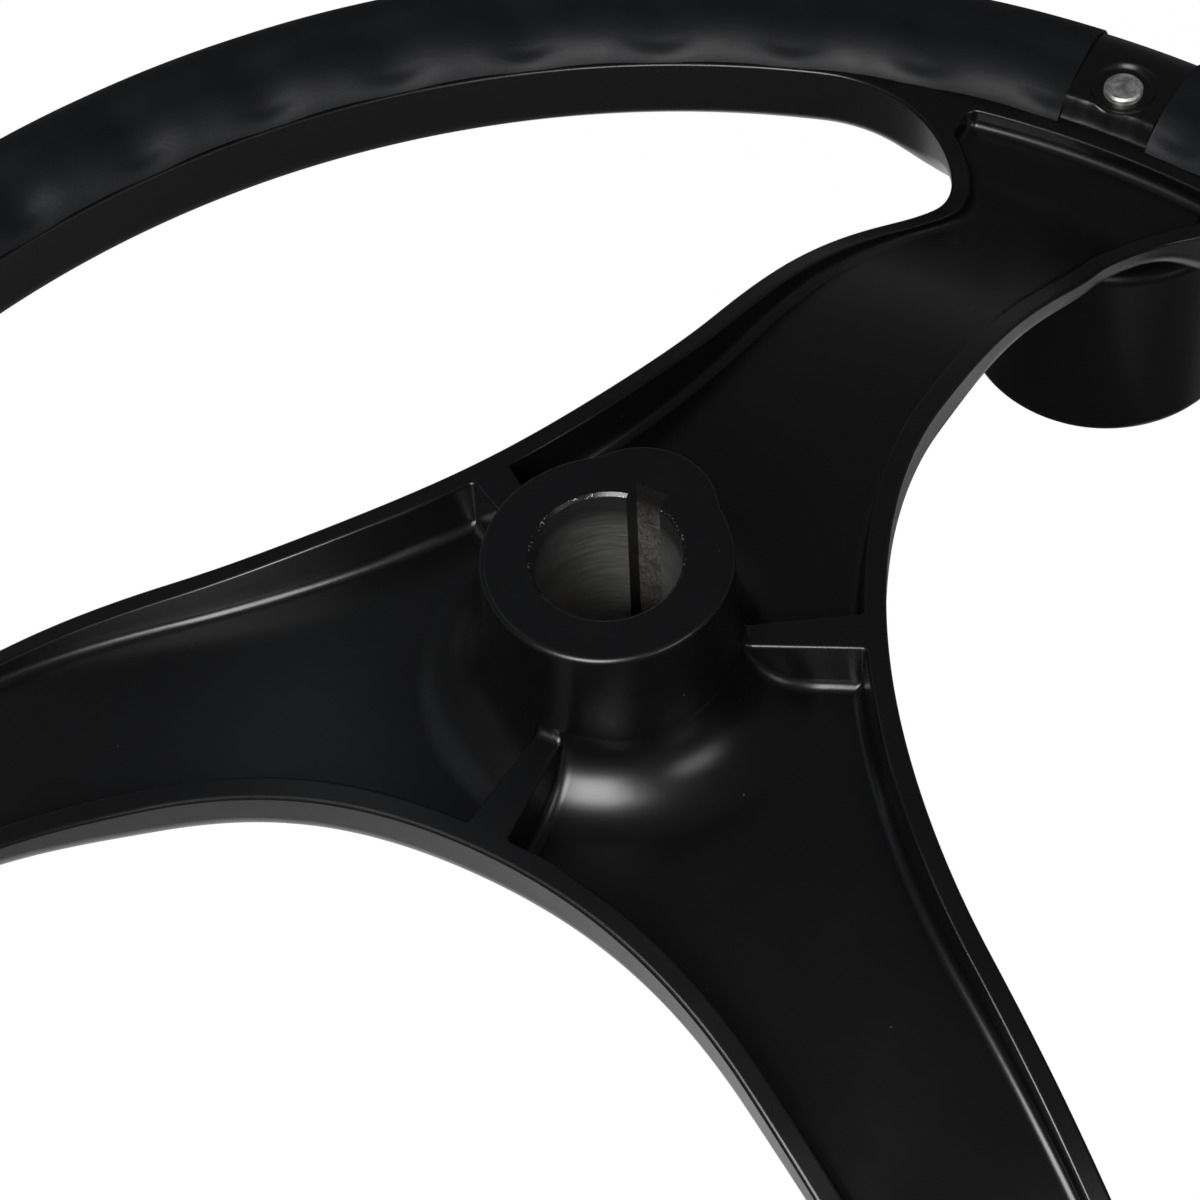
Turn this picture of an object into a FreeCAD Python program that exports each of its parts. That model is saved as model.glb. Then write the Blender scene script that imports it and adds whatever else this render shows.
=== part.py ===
# Boat steering wheel: 14 inch, three dished spokes, foam grip and a turning knob.
# Millimetres. The origin is on the shaft bore's axis, in the back face of the hub.
# +Z leaves the hub's back, where the helm's shaft comes from; +Y runs along the knob's spoke.
import FreeCAD
import Part
import math
import os

INCH = 25.4
TINY = 0.02

# Overall sizes
wheel_radius = 14.0 * INCH / 2
spoke_count = 3
spoke_step = 360.0 / spoke_count

# Hub and shaft bore
boss_radius = 1.25 * INCH / 2
boss_draft = 1.6 / 60.0
boss_edge = 0.8
lobe_radius = 9.9
lobe_reach = 18.3
lobe_blend = 4.0
boss_root = 10.0
root_tuck = 0.05
bore_radius = 0.75 * INCH / 2
bore_length = 30.0
bore_taper = 1.0 / 24.0
bore_chamfer = 0.4
key_width = 3.0 / 16.0 * INCH
key_reach = 11.7
nose_radius = 26.0
nose_depth = 38.0
nose_edge = 1.5
nose_root = 4.0
socket_radius = 22.0

# Spokes: plan
valley_radius = 34.9
valley_bend = 95.0
spoke_taper = 3.2
corner_bend = 25.0
flange_width = 3.0
pocket_half_width = 21.5
pocket_corner = 2.0
floor_fillet = 1.6
front_round = 4.5
end_wall_radius = 152.4

# Spokes: height of the flange, the pocket's floor and the front face, at distances from the axis
hub_flange_z = -18.3
rim_back_z = -74.35
rim_front_z = -88.3
dish_height = ((30.0, hub_flange_z), (55.0, -23.7), (80.0, -34.6), (105.0, -52.2), (125.0, -67.5),
               (145.0, rim_back_z))
hub_floor_z = -26.3
rim_floor_z = -77.5
floor_height = ((45.0, -27.9), (66.0, -32.8), (80.0, -38.2), (105.0, -54.2), (120.0, -65.8), (132.0, -74.0),
                (143.0, rim_floor_z))
hub_front_z = -28.6
front_height = ((34.0, hub_front_z), (62.0, -35.2), (80.0, -42.2), (105.0, -58.8), (120.0, -70.4),
                (133.0, -77.8), (143.0, -82.4), (152.0, rim_front_z))

# Ribs between the hub boss and the flange
rib_inner_width = 3.2
rib_outer_width = 5.6

# Rim
rim_inner_radius = 154.4
core_radius = 170.0
core_half_height = 3.2
core_shoulder = 160.5

# Foam grip: its section, its finger swells and the gap at the knob's pad
grip_crest_z = -69.2
grip_front_z = -89.2
grip_inner_bend = 6.2
grip_outer_bend = 10.0
grip_front_bend = 9.0
grip_start_radius = 154.9
swell_count = 45
swell_depth = 1.3
swell_shift = -0.4
dip_tuck = 0.4
pad_half_angle = 2.85
pad_clearance = 0.05
pad_back_z = -70.7
pad_inner_radius = 155.6
pad_edge = 1.8
pad_bend_cut = 1.2

# Knob and its stud
knob_radius = 24.0
knob_draft = 0.45
knob_gap = 2.5
knob_length = 40.5
knob_shoulder = 2.2
knob_foot = 3.0
knob_distance = 163.0
thread_radius = 0.25 * INCH / 2
thread_stand = 0.3
thread_chamfer = 0.35
pad_recess_radius = 6.2
pad_recess_floor = 4.2
pad_recess_depth = 0.9
stud_radius = 5.0 / 16.0 * INCH / 2
head_radius = 6.4
head_height = 5.0
socket_flats = 5.0
socket_depth = 2.6
washer_height = 3.0
washer_radius = 6.2

# Knob bearings, the common 8 x 22 x 7 size
bearing_bore = 4.0
bearing_radius = 11.0
bearing_width = 7.0
inner_ring_radius = 6.05
outer_ring_bore = 9.5
ball_radius = 3.969 / 2
ball_circle = 7.5
ball_count = 7
race_gap = 0.02
cage_thickness = 1.5
cage_height = 3.4
cage_gap = 0.08
shield_thickness = 0.4
shield_inset = 0.3
shield_gap = 0.15
bearing_spacing = 16.0
knob_land = 9.6
cap_radius = 15.0
cap_thickness = 2.6
cap_spigot = 1.2

# Hub cap on the front of the wheel
hub_cap_radius = 25.0
hub_cap_rim = 2.4
hub_cap_rise = 13.0
hub_cap_wall = 2.2
hub_cap_spigot = 5.0
cap_ring_section = 1.78
cap_ring_depth = 2.6

# Sizes that follow from those above
knob_top_z = rim_front_z - knob_gap
knob_bottom_z = knob_top_z - knob_length
seat_z = rim_front_z - washer_height
lower_seat_z = seat_z - bearing_width - bearing_spacing
stud_end_z = lower_seat_z - bearing_width
groove_distance = valley_radius + valley_bend
flank_angle = math.radians(spoke_taper)


def vec(x, y, z):
    return FreeCAD.Vector(x, y, z)


def line(a, b):
    return Part.makeLine(a, b)


def arc(centre, radius, start, end):
    # A plan arc about Z, by its angles in degrees.
    circle = Part.Circle(centre, vec(0, 0, 1), radius)
    return Part.ArcOfCircle(circle, math.radians(start), math.radians(end)).toShape()


def turned(section, turn=360.0, start=0.0):
    # Revolve a closed wire that lies in the XZ plane about Z.
    solid = Part.Face(section).revolve(vec(0, 0, 0), vec(0, 0, 1), turn)
    if start:
        solid.rotate(vec(0, 0, 0), vec(0, 0, 1), start)
    return solid


def ring(inner, outer, low, high, centre=None):
    tube = Part.makeCylinder(outer, high - low, vec(0, 0, low))
    if inner > 0:
        tube = tube.cut(Part.makeCylinder(inner, high - low + 2, vec(0, 0, low - 1)))
    if centre:
        tube.translate(centre)
    return tube


def smooth(points):
    # A smooth curve of height over distance from the axis, level at its ends.
    curve = Part.BSplineCurve()
    places = [vec(r, 0, z) for r, z in points]
    curve.interpolate(Points=places, InitialTangent=vec(1, 0, 0), FinalTangent=vec(1, 0, 0))
    return curve.toShape()


def chain(points):
    return [line(vec(*a), vec(*b)) for a, b in zip(points[:-1], points[1:])]


def around(shape, count=spoke_count, step=spoke_step):
    copies = []
    for k in range(count):
        copy = shape.copy()
        copy.rotate(vec(0, 0, 0), vec(0, 0, 1), k * step)
        copies.append(copy)
    return copies


def polar(centre, radius, angle):
    a = math.radians(angle)
    return vec(centre.x + radius * math.cos(a), centre.y + radius * math.sin(a), 0)


# Plan of a window's edge: the bend next to the hub, a straight flank and the corner at the rim
valley_centre = vec(-groove_distance * math.cos(math.radians(30)), groove_distance / 2, 0)


def corner_centre():
    # The corner's centre: a fixed distance from the flank line and from the rim's inner circle.
    normal = vec(math.cos(flank_angle), -math.sin(flank_angle), 0)
    foot = valley_centre + normal * (valley_bend - corner_bend)
    along = vec(math.sin(flank_angle), math.cos(flank_angle), 0)
    reach = rim_inner_radius - corner_bend
    b = foot.dot(along)
    c = foot.dot(foot) - reach ** 2
    return foot + along * (-b + math.sqrt(b * b - c))


def edge_points(offset):
    # Points on the left edge of the knob's spoke, moved by offset into the spoke.
    centre = corner_centre()
    normal = -spoke_taper
    tangent = polar(valley_centre, valley_bend + offset, normal)
    turn_in = polar(centre, corner_bend + offset, normal)
    return centre, tangent, turn_in


def spoke_plan(outer_radius):
    # One spoke's outline, from the middle of one valley to the middle of the next.
    centre, tangent, turn_in = edge_points(0)
    meet = math.degrees(math.atan2(centre.y, centre.x))
    valley = polar(valley_centre, valley_bend, -30)
    rim = polar(vec(0, 0, 0), rim_inner_radius, meet)
    outer = polar(vec(0, 0, 0), outer_radius, meet)
    left = [arc(valley_centre, valley_bend, -30, -spoke_taper),
            line(tangent, turn_in),
            arc(centre, corner_bend, -spoke_taper, meet),
            line(rim, outer)]
    right = [edge.mirror(vec(0, 0, 0), vec(1, 0, 0)) for edge in left]
    other = vec(-valley.x, valley.y, 0)
    closing = [arc(vec(0, 0, 0), outer_radius, 180 - meet, meet),
               line(vec(0, 0, 0), valley), line(vec(0, 0, 0), other)]
    return Part.Wire(Part.__sortEdges__(left + right + closing))


def web():
    # The three spokes as one dished sheet, thick enough to take the pockets.
    top = smooth(dish_height)
    bottom = smooth(front_height)
    outer = core_shoulder
    first, last = dish_height[0], dish_height[-1]
    low, end = front_height[0], front_height[-1]
    rest = chain([(last[0], 0, last[1]), (outer, 0, last[1]), (outer, 0, end[1]), (end[0], 0, end[1])])
    inner = chain([(low[0], 0, low[1]), (0, 0, low[1]), (0, 0, first[1]), (first[0], 0, first[1])])
    dish = turned(Part.Wire(Part.__sortEdges__([top, bottom] + rest + inner)))
    plan = Part.Face(spoke_plan(outer))
    plan.translate(vec(0, 0, rim_front_z - 5))
    prism = plan.extrude(vec(0, 0, -rim_front_z + 5))
    star = prism.multiFuse(around(prism)[1:]).removeSplitter()
    spokes = dish.common(star)
    rounded = [edge for edge in spokes.Edges if is_front_edge(edge)]
    return spokes.makeFillet(front_round, rounded)


def is_front_edge(edge):
    # An edge of the spokes' outline on the front face, away from the hub's axis and the rim's end faces.
    if edge.Length < 1.0:
        return False
    first, last = edge.ParameterRange
    spots = [edge.valueAt(first + (last - first) * t) for t in (0.05, 0.35, 0.65, 0.95)]
    radii = [math.hypot(p.x, p.y) for p in spots]
    if min(radii) < valley_radius - 1 or max(radii) > rim_inner_radius + 0.2:
        return False
    for p, r in zip(spots, radii):
        if abs(p.z - height_at(dish_height, r)) < 2.5:
            return False
    return max(abs(a.z - height_at(front_height, b)) for a, b in zip(spots, radii)) < 1.0


def height_at(points, radius):
    # Straight-line estimate of a height curve, for telling edges apart.
    if radius <= points[0][0]:
        return points[0][1]
    for (r0, z0), (r1, z1) in zip(points[:-1], points[1:]):
        if radius <= r1:
            return z0 + (z1 - z0) * (radius - r0) / (r1 - r0)
    return points[-1][1]


def rim_core():
    # The cast rim: the bare inner band and the core that the foam is moulded on.
    mid = (rim_back_z + rim_front_z) / 2
    band = [(rim_inner_radius, 0, rim_front_z + front_round), (rim_inner_radius, 0, rim_back_z),
            (core_shoulder, 0, rim_back_z), (core_radius, 0, mid + core_half_height),
            (core_radius, 0, mid - core_half_height), (core_shoulder, 0, rim_front_z),
            (rim_inner_radius + front_round, 0, rim_front_z)]
    s = front_round * (1 - math.sqrt(0.5))
    bend = Part.Arc(vec(*band[-1]), vec(rim_inner_radius + s, 0, rim_front_z + s), vec(*band[0])).toShape()
    return turned(Part.Wire(Part.__sortEdges__(chain(band) + [bend])))


def pocket_marks():
    # Corners of the left half of the pocket's outline: at the boss, on the flange and by the rim.
    centre = corner_centre()
    cut_in = math.degrees(math.acos((-pocket_half_width - centre.x) / (corner_bend + flange_width)))
    corner_in = polar(centre, corner_bend + flange_width, cut_in)
    corner_out = vec(-pocket_half_width, math.sqrt(end_wall_radius ** 2 - pocket_half_width ** 2), 0)
    # The rib's side leaves the boss and meets the flange's inner edge.
    out = vec(-math.cos(math.radians(30)), math.sin(math.radians(30)), 0)
    side = vec(math.sin(math.radians(30)), math.cos(math.radians(30)), 0)
    near = out * (boss_radius - 1) + side * (rib_inner_width / 2)
    far = out * (valley_radius - flange_width) + side * (rib_outer_width / 2)
    run = far - near
    run.normalize()
    gap = near - valley_centre
    b = gap.dot(run)
    c = gap.dot(gap) - (valley_bend + flange_width) ** 2
    meet = near + run * (-b - math.sqrt(b * b - c))
    return near, meet, corner_in, corner_out, cut_in


def pocket_plan():
    # The pocket of the knob's spoke: between two ribs, inside the flanges, up to the end wall.
    centre, tangent, turn_in = edge_points(flange_width)
    near, meet, corner_in, corner_out, cut_in = pocket_marks()
    start = math.degrees(math.atan2(meet.y - valley_centre.y, meet.x - valley_centre.x))
    left = [line(near, meet),
            arc(valley_centre, valley_bend + flange_width, start, -spoke_taper),
            line(tangent, turn_in),
            arc(centre, corner_bend + flange_width, -spoke_taper, cut_in),
            line(corner_in, corner_out)]
    right = [edge.mirror(vec(0, 0, 0), vec(1, 0, 0)) for edge in left]
    half = math.degrees(math.asin(pocket_half_width / end_wall_radius))
    closing = [arc(vec(0, 0, 0), end_wall_radius, 90 - half, 90 + half),
               line(near, vec(-near.x, near.y, 0))]
    return Part.Wire(Part.__sortEdges__(left + right + closing))


def floor_section():
    # The space over the pocket's floor, with the hub boss's root as its inner end.
    foot = boss_radius - boss_draft * (hub_floor_z + boss_root) - root_tuck
    level = hub_floor_z
    s = boss_root * (1 - math.sqrt(0.5))
    root = Part.Arc(vec(foot, 0, level + boss_root), vec(foot + s, 0, level + s),
                    vec(foot + boss_root, 0, level)).toShape()
    points = ((foot + boss_root, level),) + floor_height
    floor = smooth(points)
    last = floor_height[-1]
    rest = chain([(last[0], 0, last[1]), (end_wall_radius + 2, 0, last[1]), (end_wall_radius + 2, 0, 5),
                  (foot, 0, 5), (foot, 0, level + boss_root)])
    return Part.Wire(Part.__sortEdges__([root, floor] + rest))


def pocket():
    plan = Part.Face(pocket_plan())
    plan.translate(vec(0, 0, rim_floor_z - 5))
    prism = plan.extrude(vec(0, 0, -rim_floor_z + 7))
    prism = prism.makeFillet(pocket_corner, [edge for edge in prism.Edges if is_pocket_corner(edge)])
    space = prism.common(turned(floor_section()))
    return space.makeFillet(floor_fillet, [edge for edge in space.Edges if is_floor_edge(edge)])


def is_pocket_corner(edge):
    # An upright edge by the rim where two sides of the pocket meet. The corners at the ribs stay square.
    box = edge.BoundBox
    if box.ZLength < 20 or box.XLength + box.YLength > TINY:
        return False
    spot = math.hypot(box.Center.x, box.Center.y)
    return any(abs(spot - place.Length) < 0.1 for place in pocket_marks()[2:4])


def is_floor_edge(edge):
    # An edge where the pocket's side meets its floor.
    first, last = edge.ParameterRange
    spots = [edge.valueAt(first + (last - first) * t) for t in (0.1, 0.4, 0.7, 0.9)]
    radii = [math.hypot(p.x, p.y) for p in spots]
    if max(radii) - min(radii) < TINY and max(radii) < end_wall_radius - 1:
        return False
    if edge.BoundBox.ZMin > hub_floor_z + boss_root + 1 or max(radii) < boss_radius + 1.5:
        return False
    upright = max(abs(p.x - spots[0].x) + abs(p.y - spots[0].y) for p in spots) < TINY
    return not upright and edge.BoundBox.ZMax < 0


def boss():
    # The hub boss and the lobe that holds the keyway, both with a little draft.
    height = -hub_floor_z + 1
    grow = boss_draft * height
    lobe_y = lobe_reach - lobe_radius
    body = Part.makeCone(boss_radius + grow, boss_radius, height, vec(0, 0, -height))
    lobe = Part.makeCone(lobe_radius + grow, lobe_radius, height, vec(0, lobe_y, -height))
    both = body.fuse(lobe)
    inner = [e for e in both.Edges if abs(e.BoundBox.ZLength - height) < 0.5 and e.BoundBox.XLength < 3
             and abs(e.BoundBox.Center.x) > 5]
    both = both.makeFillet(lobe_blend, inner)
    rim = [e for e in both.Edges if e.BoundBox.ZMin > -TINY]
    return both.makeFillet(boss_edge, rim)


def lobe_root():
    # The lobe's own root, turned about the lobe's axis.
    lobe_y = lobe_reach - lobe_radius
    foot = lobe_radius - boss_draft * (hub_floor_z + boss_root) - root_tuck
    level = hub_floor_z
    s = boss_root * (1 - math.sqrt(0.5))
    bend = Part.Arc(vec(foot, 0, level + boss_root), vec(foot + s, 0, level + s),
                    vec(foot + boss_root, 0, level)).toShape()
    rest = chain([(foot + boss_root, 0, level), (foot + boss_root, 0, level - 1), (0, 0, level - 1),
                  (0, 0, level + boss_root), (foot, 0, level + boss_root)])
    root = turned(Part.Wire(Part.__sortEdges__([bend] + rest)))
    root.translate(vec(0, lobe_y, 0))
    return root


def nose():
    # The round front of the hub, with its root blended into the spokes' front.
    level = hub_front_z
    s = nose_root * (1 - math.sqrt(0.5))
    bend = Part.Arc(vec(nose_radius, 0, level - nose_root), vec(nose_radius + s, 0, level - s),
                    vec(nose_radius + nose_root, 0, level)).toShape()
    t = nose_edge * (1 - math.sqrt(0.5))
    edge = Part.Arc(vec(nose_radius - nose_edge, 0, -nose_depth), vec(nose_radius - t, 0, -nose_depth + t),
                    vec(nose_radius, 0, -nose_depth + nose_edge)).toShape()
    rest = chain([(nose_radius + nose_root, 0, level), (nose_radius + nose_root, 0, level + 1),
                  (0, 0, level + 1), (0, 0, -nose_depth), (nose_radius - nose_edge, 0, -nose_depth)])
    side = chain([(nose_radius, 0, -nose_depth + nose_edge), (nose_radius, 0, level - nose_root)])
    return turned(Part.Wire(Part.__sortEdges__([bend, edge] + rest + side)))


def shaft_hole():
    # The tapered bore with its keyway and mouth chamfer, and the nut's socket on the front.
    small = bore_radius - bore_length * bore_taper
    bore = Part.makeCone(small, bore_radius, bore_length, vec(0, 0, -bore_length))
    mouth = Part.makeCone(bore_radius, bore_radius + bore_chamfer, bore_chamfer, vec(0, 0, -bore_chamfer))
    socket = Part.makeCylinder(socket_radius, nose_depth - bore_length + 1, vec(0, 0, -nose_depth - 1))
    half = key_width / 2
    drop = bore_length * bore_taper
    corners = [(-half, 0, 1), (-half, key_reach + bore_taper, 1),
               (-half, key_reach - drop - bore_taper, -bore_length - 1), (-half, 0, -bore_length - 1)]
    slot = Part.Face(Part.makePolygon([vec(*p) for p in corners + corners[:1]]))
    return bore.multiFuse([mouth, socket, slot.extrude(vec(key_width, 0, 0))])


def grip_section(depth, angle):
    # The closed outline of the foam at one angle; depth lowers its back towards the inner side.
    z = grip_crest_z
    inner_bend = grip_inner_bend - depth * dip_tuck
    outer = wheel_radius
    inner_centre = (grip_start_radius + inner_bend, z - depth - inner_bend)
    outer_centre = (outer - grip_outer_bend, z - grip_outer_bend)
    front_centre = (outer - grip_front_bend, grip_front_z + grip_front_bend)
    k = math.sqrt(0.5)
    start = (inner_centre[0] - inner_bend, inner_centre[1])
    top_in = (inner_centre[0], z - depth)
    top_out = (outer_centre[0], z)
    side_high = (outer, outer_centre[1])
    side_low = (outer, front_centre[1])
    front = (front_centre[0], grip_front_z)
    lip = (rim_inner_radius + front_round + 1.4, grip_front_z)
    seam = (rim_inner_radius + front_round + 0.4, rim_front_z)

    def at(p):
        return vec(p[0], 0, p[1])

    crest = Part.BSplineCurve()
    crest.interpolate(Points=[at(top_in), at(top_out)], InitialTangent=vec(1, 0, 0), FinalTangent=vec(1, 0, 0))
    edges = [Part.Arc(at(start), vec(inner_centre[0] - inner_bend * k, 0, inner_centre[1] + inner_bend * k),
                      at(top_in)).toShape(),
             crest.toShape(),
             Part.Arc(at(top_out), vec(outer_centre[0] + grip_outer_bend * k, 0,
                                       outer_centre[1] + grip_outer_bend * k), at(side_high)).toShape(),
             line(at(side_high), at(side_low)),
             Part.Arc(at(side_low), vec(front_centre[0] + grip_front_bend * k, 0,
                                        front_centre[1] - grip_front_bend * k), at(front)).toShape(),
             line(at(front), at(lip)),
             line(at(lip), at(seam)),
             line(at(seam), at((rim_inner_radius + front_round + 0.4, rim_back_z - 3))),
             line(at((rim_inner_radius + front_round + 0.4, rim_back_z - 3)), at(start))]
    wire = Part.Wire(Part.__sortEdges__(edges))
    wire.rotate(vec(0, 0, 0), vec(0, 0, 1), angle)
    return wire


def grip(core):
    # One C-shaped moulding with a swell for every finger, open at the knob's pad.
    step = 360.0 / swell_count
    crest = 90 + swell_shift
    places = [90 + pad_half_angle]
    places += [crest + step / 2 * k for k in range(1, 2 * swell_count)]
    places.append(450 - pad_half_angle)
    shares = [(1 - math.cos(math.radians((angle - crest) * swell_count))) / 2 for angle in places]
    wires = [grip_section(share * swell_depth, angle) for angle, share in zip(places, shares)]
    foam = Part.makeLoft(wires, True, False)
    return foam.cut(core)


def pad():
    # The bare metal pad that carries the knob, as thick as the foam beside it.
    back = pad_back_z
    front = rim_front_z
    k = math.sqrt(0.5)
    high_bend = grip_outer_bend - pad_bend_cut
    low_bend = grip_front_bend - pad_bend_cut
    high_centre = wheel_radius - high_bend
    low_centre = wheel_radius - low_bend
    high_z = back - high_bend
    low_z = front + low_bend
    edge_centre = pad_inner_radius + pad_edge
    edges = [Part.Arc(vec(pad_inner_radius, 0, back - pad_edge),
                      vec(edge_centre - pad_edge * k, 0, back - pad_edge + pad_edge * k),
                      vec(edge_centre, 0, back)).toShape(),
             line(vec(edge_centre, 0, back), vec(high_centre, 0, back)),
             Part.Arc(vec(high_centre, 0, back),
                      vec(high_centre + high_bend * k, 0, high_z + high_bend * k),
                      vec(wheel_radius, 0, high_z)).toShape(),
             Part.Arc(vec(low_centre, 0, front),
                      vec(low_centre + low_bend * k, 0, low_z - low_bend * k),
                      vec(wheel_radius, 0, low_z)).toShape()]
    edges += chain([(low_centre, 0, front), (pad_inner_radius, 0, front),
                    (pad_inner_radius, 0, back - pad_edge)])
    edges.append(line(vec(wheel_radius, 0, high_z), vec(wheel_radius, 0, low_z)))
    angle = pad_half_angle - pad_clearance
    return turned(Part.Wire(Part.__sortEdges__(edges)), 2 * angle, 90 - angle)


def stud_hole():
    # The tapped hole through the pad, with a shallow dish round it on the back.
    centre = vec(0, knob_distance, 0)
    hole = Part.makeCylinder(thread_radius, 40, vec(0, 0, rim_front_z - 10))
    low = pad_back_z - pad_recess_depth
    side = Part.BSplineCurve()
    side.interpolate(Points=[vec(pad_recess_floor, 0, low), vec(pad_recess_radius, 0, pad_back_z)],
                     InitialTangent=vec(1, 0, 0), FinalTangent=vec(1, 0, 0.5))
    rest = chain([(pad_recess_radius, 0, pad_back_z), (pad_recess_radius, 0, pad_back_z + 1),
                  (0, 0, pad_back_z + 1), (0, 0, low), (pad_recess_floor, 0, low)])
    dish = turned(Part.Wire(Part.__sortEdges__([side.toShape()] + rest)))
    both = hole.fuse(dish)
    both.translate(centre)
    return both


def casting():
    body = web().multiFuse([rim_core(), nose()])
    body = body.multiFuse([pad()])
    spaces = around(pocket())
    body = body.cut(Part.makeCompound(spaces))
    body = body.multiFuse([boss(), lobe_root()])
    body = body.cut(shaft_hole())
    body = body.cut(stud_hole())
    return body


def stud():
    # A shoulder screw: head in the knob, shoulder through the bearings, thread end shown on the back.
    end = pad_back_z + thread_stand
    thread = Part.makeCylinder(thread_radius - TINY / 2, end - rim_front_z, vec(0, 0, rim_front_z))
    tip = [e for e in thread.Edges if e.BoundBox.ZMin > end - TINY]
    thread = thread.makeChamfer(thread_chamfer, tip)
    shoulder = Part.makeCylinder(stud_radius, rim_front_z - stud_end_z, vec(0, 0, stud_end_z))
    head = Part.makeCylinder(head_radius, head_height, vec(0, 0, stud_end_z - head_height))
    key = Part.Face(Part.makePolygon([vec(socket_flats / math.sqrt(3) * math.cos(math.radians(60 * k)),
                                          socket_flats / math.sqrt(3) * math.sin(math.radians(60 * k)),
                                          stud_end_z - head_height) for k in range(7)]))
    screw = thread.multiFuse([shoulder, head]).cut(key.extrude(vec(0, 0, socket_depth)))
    screw.translate(vec(0, knob_distance, 0))
    return screw


def bearing(top):
    # The pieces of one ball bearing whose upper face is at the height top.
    centre = vec(0, knob_distance, 0)
    low = top - bearing_width
    mid = top - bearing_width / 2
    groove = Part.makeTorus(ball_circle, ball_radius + race_gap, vec(0, 0, mid))
    inner = ring(bearing_bore, inner_ring_radius, low, top).cut(groove)
    outer = ring(outer_ring_bore, bearing_radius, low, top).cut(groove)
    balls = []
    pockets = []
    for k in range(ball_count):
        a = 2 * math.pi * k / ball_count
        place = vec(ball_circle * math.cos(a), ball_circle * math.sin(a), mid)
        balls.append(Part.makeSphere(ball_radius, place))
        pockets.append(Part.makeSphere(ball_radius + cage_gap, place))
    cage = ring(ball_circle - cage_thickness / 2, ball_circle + cage_thickness / 2,
                mid - cage_height / 2 - 0.9, mid + cage_height / 2 - 0.9)
    cage = cage.cut(Part.makeCompound(pockets))
    shield = ring(inner_ring_radius + shield_gap, outer_ring_bore, top - shield_inset - shield_thickness,
                  top - shield_inset)
    other = ring(inner_ring_radius + shield_gap, outer_ring_bore, low + shield_inset,
                 low + shield_inset + shield_thickness)
    pieces = {"inner_ring": inner, "outer_ring": outer, "balls": Part.makeCompound(balls),
              "cage": cage, "rim_shield": shield, "cap_shield": other}
    for piece in pieces.values():
        piece.translate(centre)
    return pieces


def knob_body():
    # The turned knob: seats for both bearings with a land between them, and a seat for its cap.
    top_radius = knob_radius - knob_draft
    low = knob_bottom_z
    k = 1 - math.sqrt(0.5)
    shoulder = knob_shoulder
    foot = knob_foot
    outer = [Part.Arc(vec(top_radius - shoulder, 0, knob_top_z),
                      vec(top_radius - shoulder * k, 0, knob_top_z - shoulder * k),
                      vec(top_radius, 0, knob_top_z - shoulder)).toShape(),
             line(vec(top_radius, 0, knob_top_z - shoulder), vec(knob_radius, 0, low + foot)),
             Part.Arc(vec(knob_radius, 0, low + foot), vec(knob_radius - foot * k, 0, low + foot * k),
                      vec(knob_radius - foot, 0, low)).toShape()]
    cap_seat = low + cap_thickness
    first_low = seat_z - bearing_width
    inner = chain([(knob_radius - foot, 0, low), (cap_radius, 0, low), (cap_radius, 0, cap_seat),
                   (bearing_radius, 0, cap_seat), (bearing_radius, 0, lower_seat_z),
                   (knob_land, 0, lower_seat_z), (knob_land, 0, first_low), (bearing_radius, 0, first_low),
                   (bearing_radius, 0, knob_top_z), (top_radius - shoulder, 0, knob_top_z)])
    body = turned(Part.Wire(Part.__sortEdges__(outer + inner)))
    body.translate(vec(0, knob_distance, 0))
    return body


def knob_cap():
    # A plain pressed-in disc with a short spigot that stops at the bearing seat's bore.
    low = knob_bottom_z
    disc = ring(0, cap_radius - TINY / 2, low, low + cap_thickness)
    edge = [e for e in disc.Edges if e.BoundBox.ZMax < low + TINY]
    disc = disc.makeFillet(0.5, edge)
    spigot = ring(bearing_radius - 1.6, bearing_radius - TINY / 2, low + cap_thickness,
                  low + cap_thickness + cap_spigot)
    cap = disc.fuse(spigot)
    cap.translate(vec(0, knob_distance, 0))
    return cap


def hub_cap():
    # A domed cover with a spigot in the nut's socket, and a groove there for its sealing ring.
    face = -nose_depth
    rim = face - hub_cap_rim
    top = face - hub_cap_rise
    inner_top = top + hub_cap_wall
    spigot = socket_radius - 0.15
    bore = spigot - hub_cap_wall
    ring_high = face + cap_ring_depth + cap_ring_section / 2 + 0.1
    ring_low = face + cap_ring_depth - cap_ring_section / 2 - 0.1
    groove = socket_radius - cap_ring_section - TINY
    crown = hub_cap_radius * 0.62
    dome = Part.BSplineCurve()
    dome.interpolate(Points=[vec(hub_cap_radius, 0, rim), vec(crown, 0, top + 2.6), vec(0, 0, top)],
                     InitialTangent=vec(-0.25, 0, -1), FinalTangent=vec(-1, 0, 0))
    inside = Part.BSplineCurve()
    inside.interpolate(Points=[vec(bore, 0, face - 1), vec(bore * 0.66, 0, inner_top + 2.6), vec(0, 0, inner_top)],
                       InitialTangent=vec(-0.1, 0, -1), FinalTangent=vec(-1, 0, 0))
    edges = chain([(0, 0, top), (0, 0, inner_top)]) + [inside.toShape(), dome.toShape()]
    edges += chain([(bore, 0, face - 1), (bore, 0, face + hub_cap_spigot), (spigot, 0, face + hub_cap_spigot),
                    (spigot, 0, ring_high), (groove, 0, ring_high), (groove, 0, ring_low),
                    (spigot, 0, ring_low), (spigot, 0, face), (hub_cap_radius, 0, face),
                    (hub_cap_radius, 0, rim)])
    return turned(Part.Wire(Part.__sortEdges__(edges)))


def cap_ring():
    place = vec(0, 0, -nose_depth + cap_ring_depth)
    return Part.makeTorus(socket_radius - cap_ring_section / 2 - TINY / 2, cap_ring_section / 2, place)


def export(name, shape):
    shape.exportStep(os.path.join("parts", name + ".step"))


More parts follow.
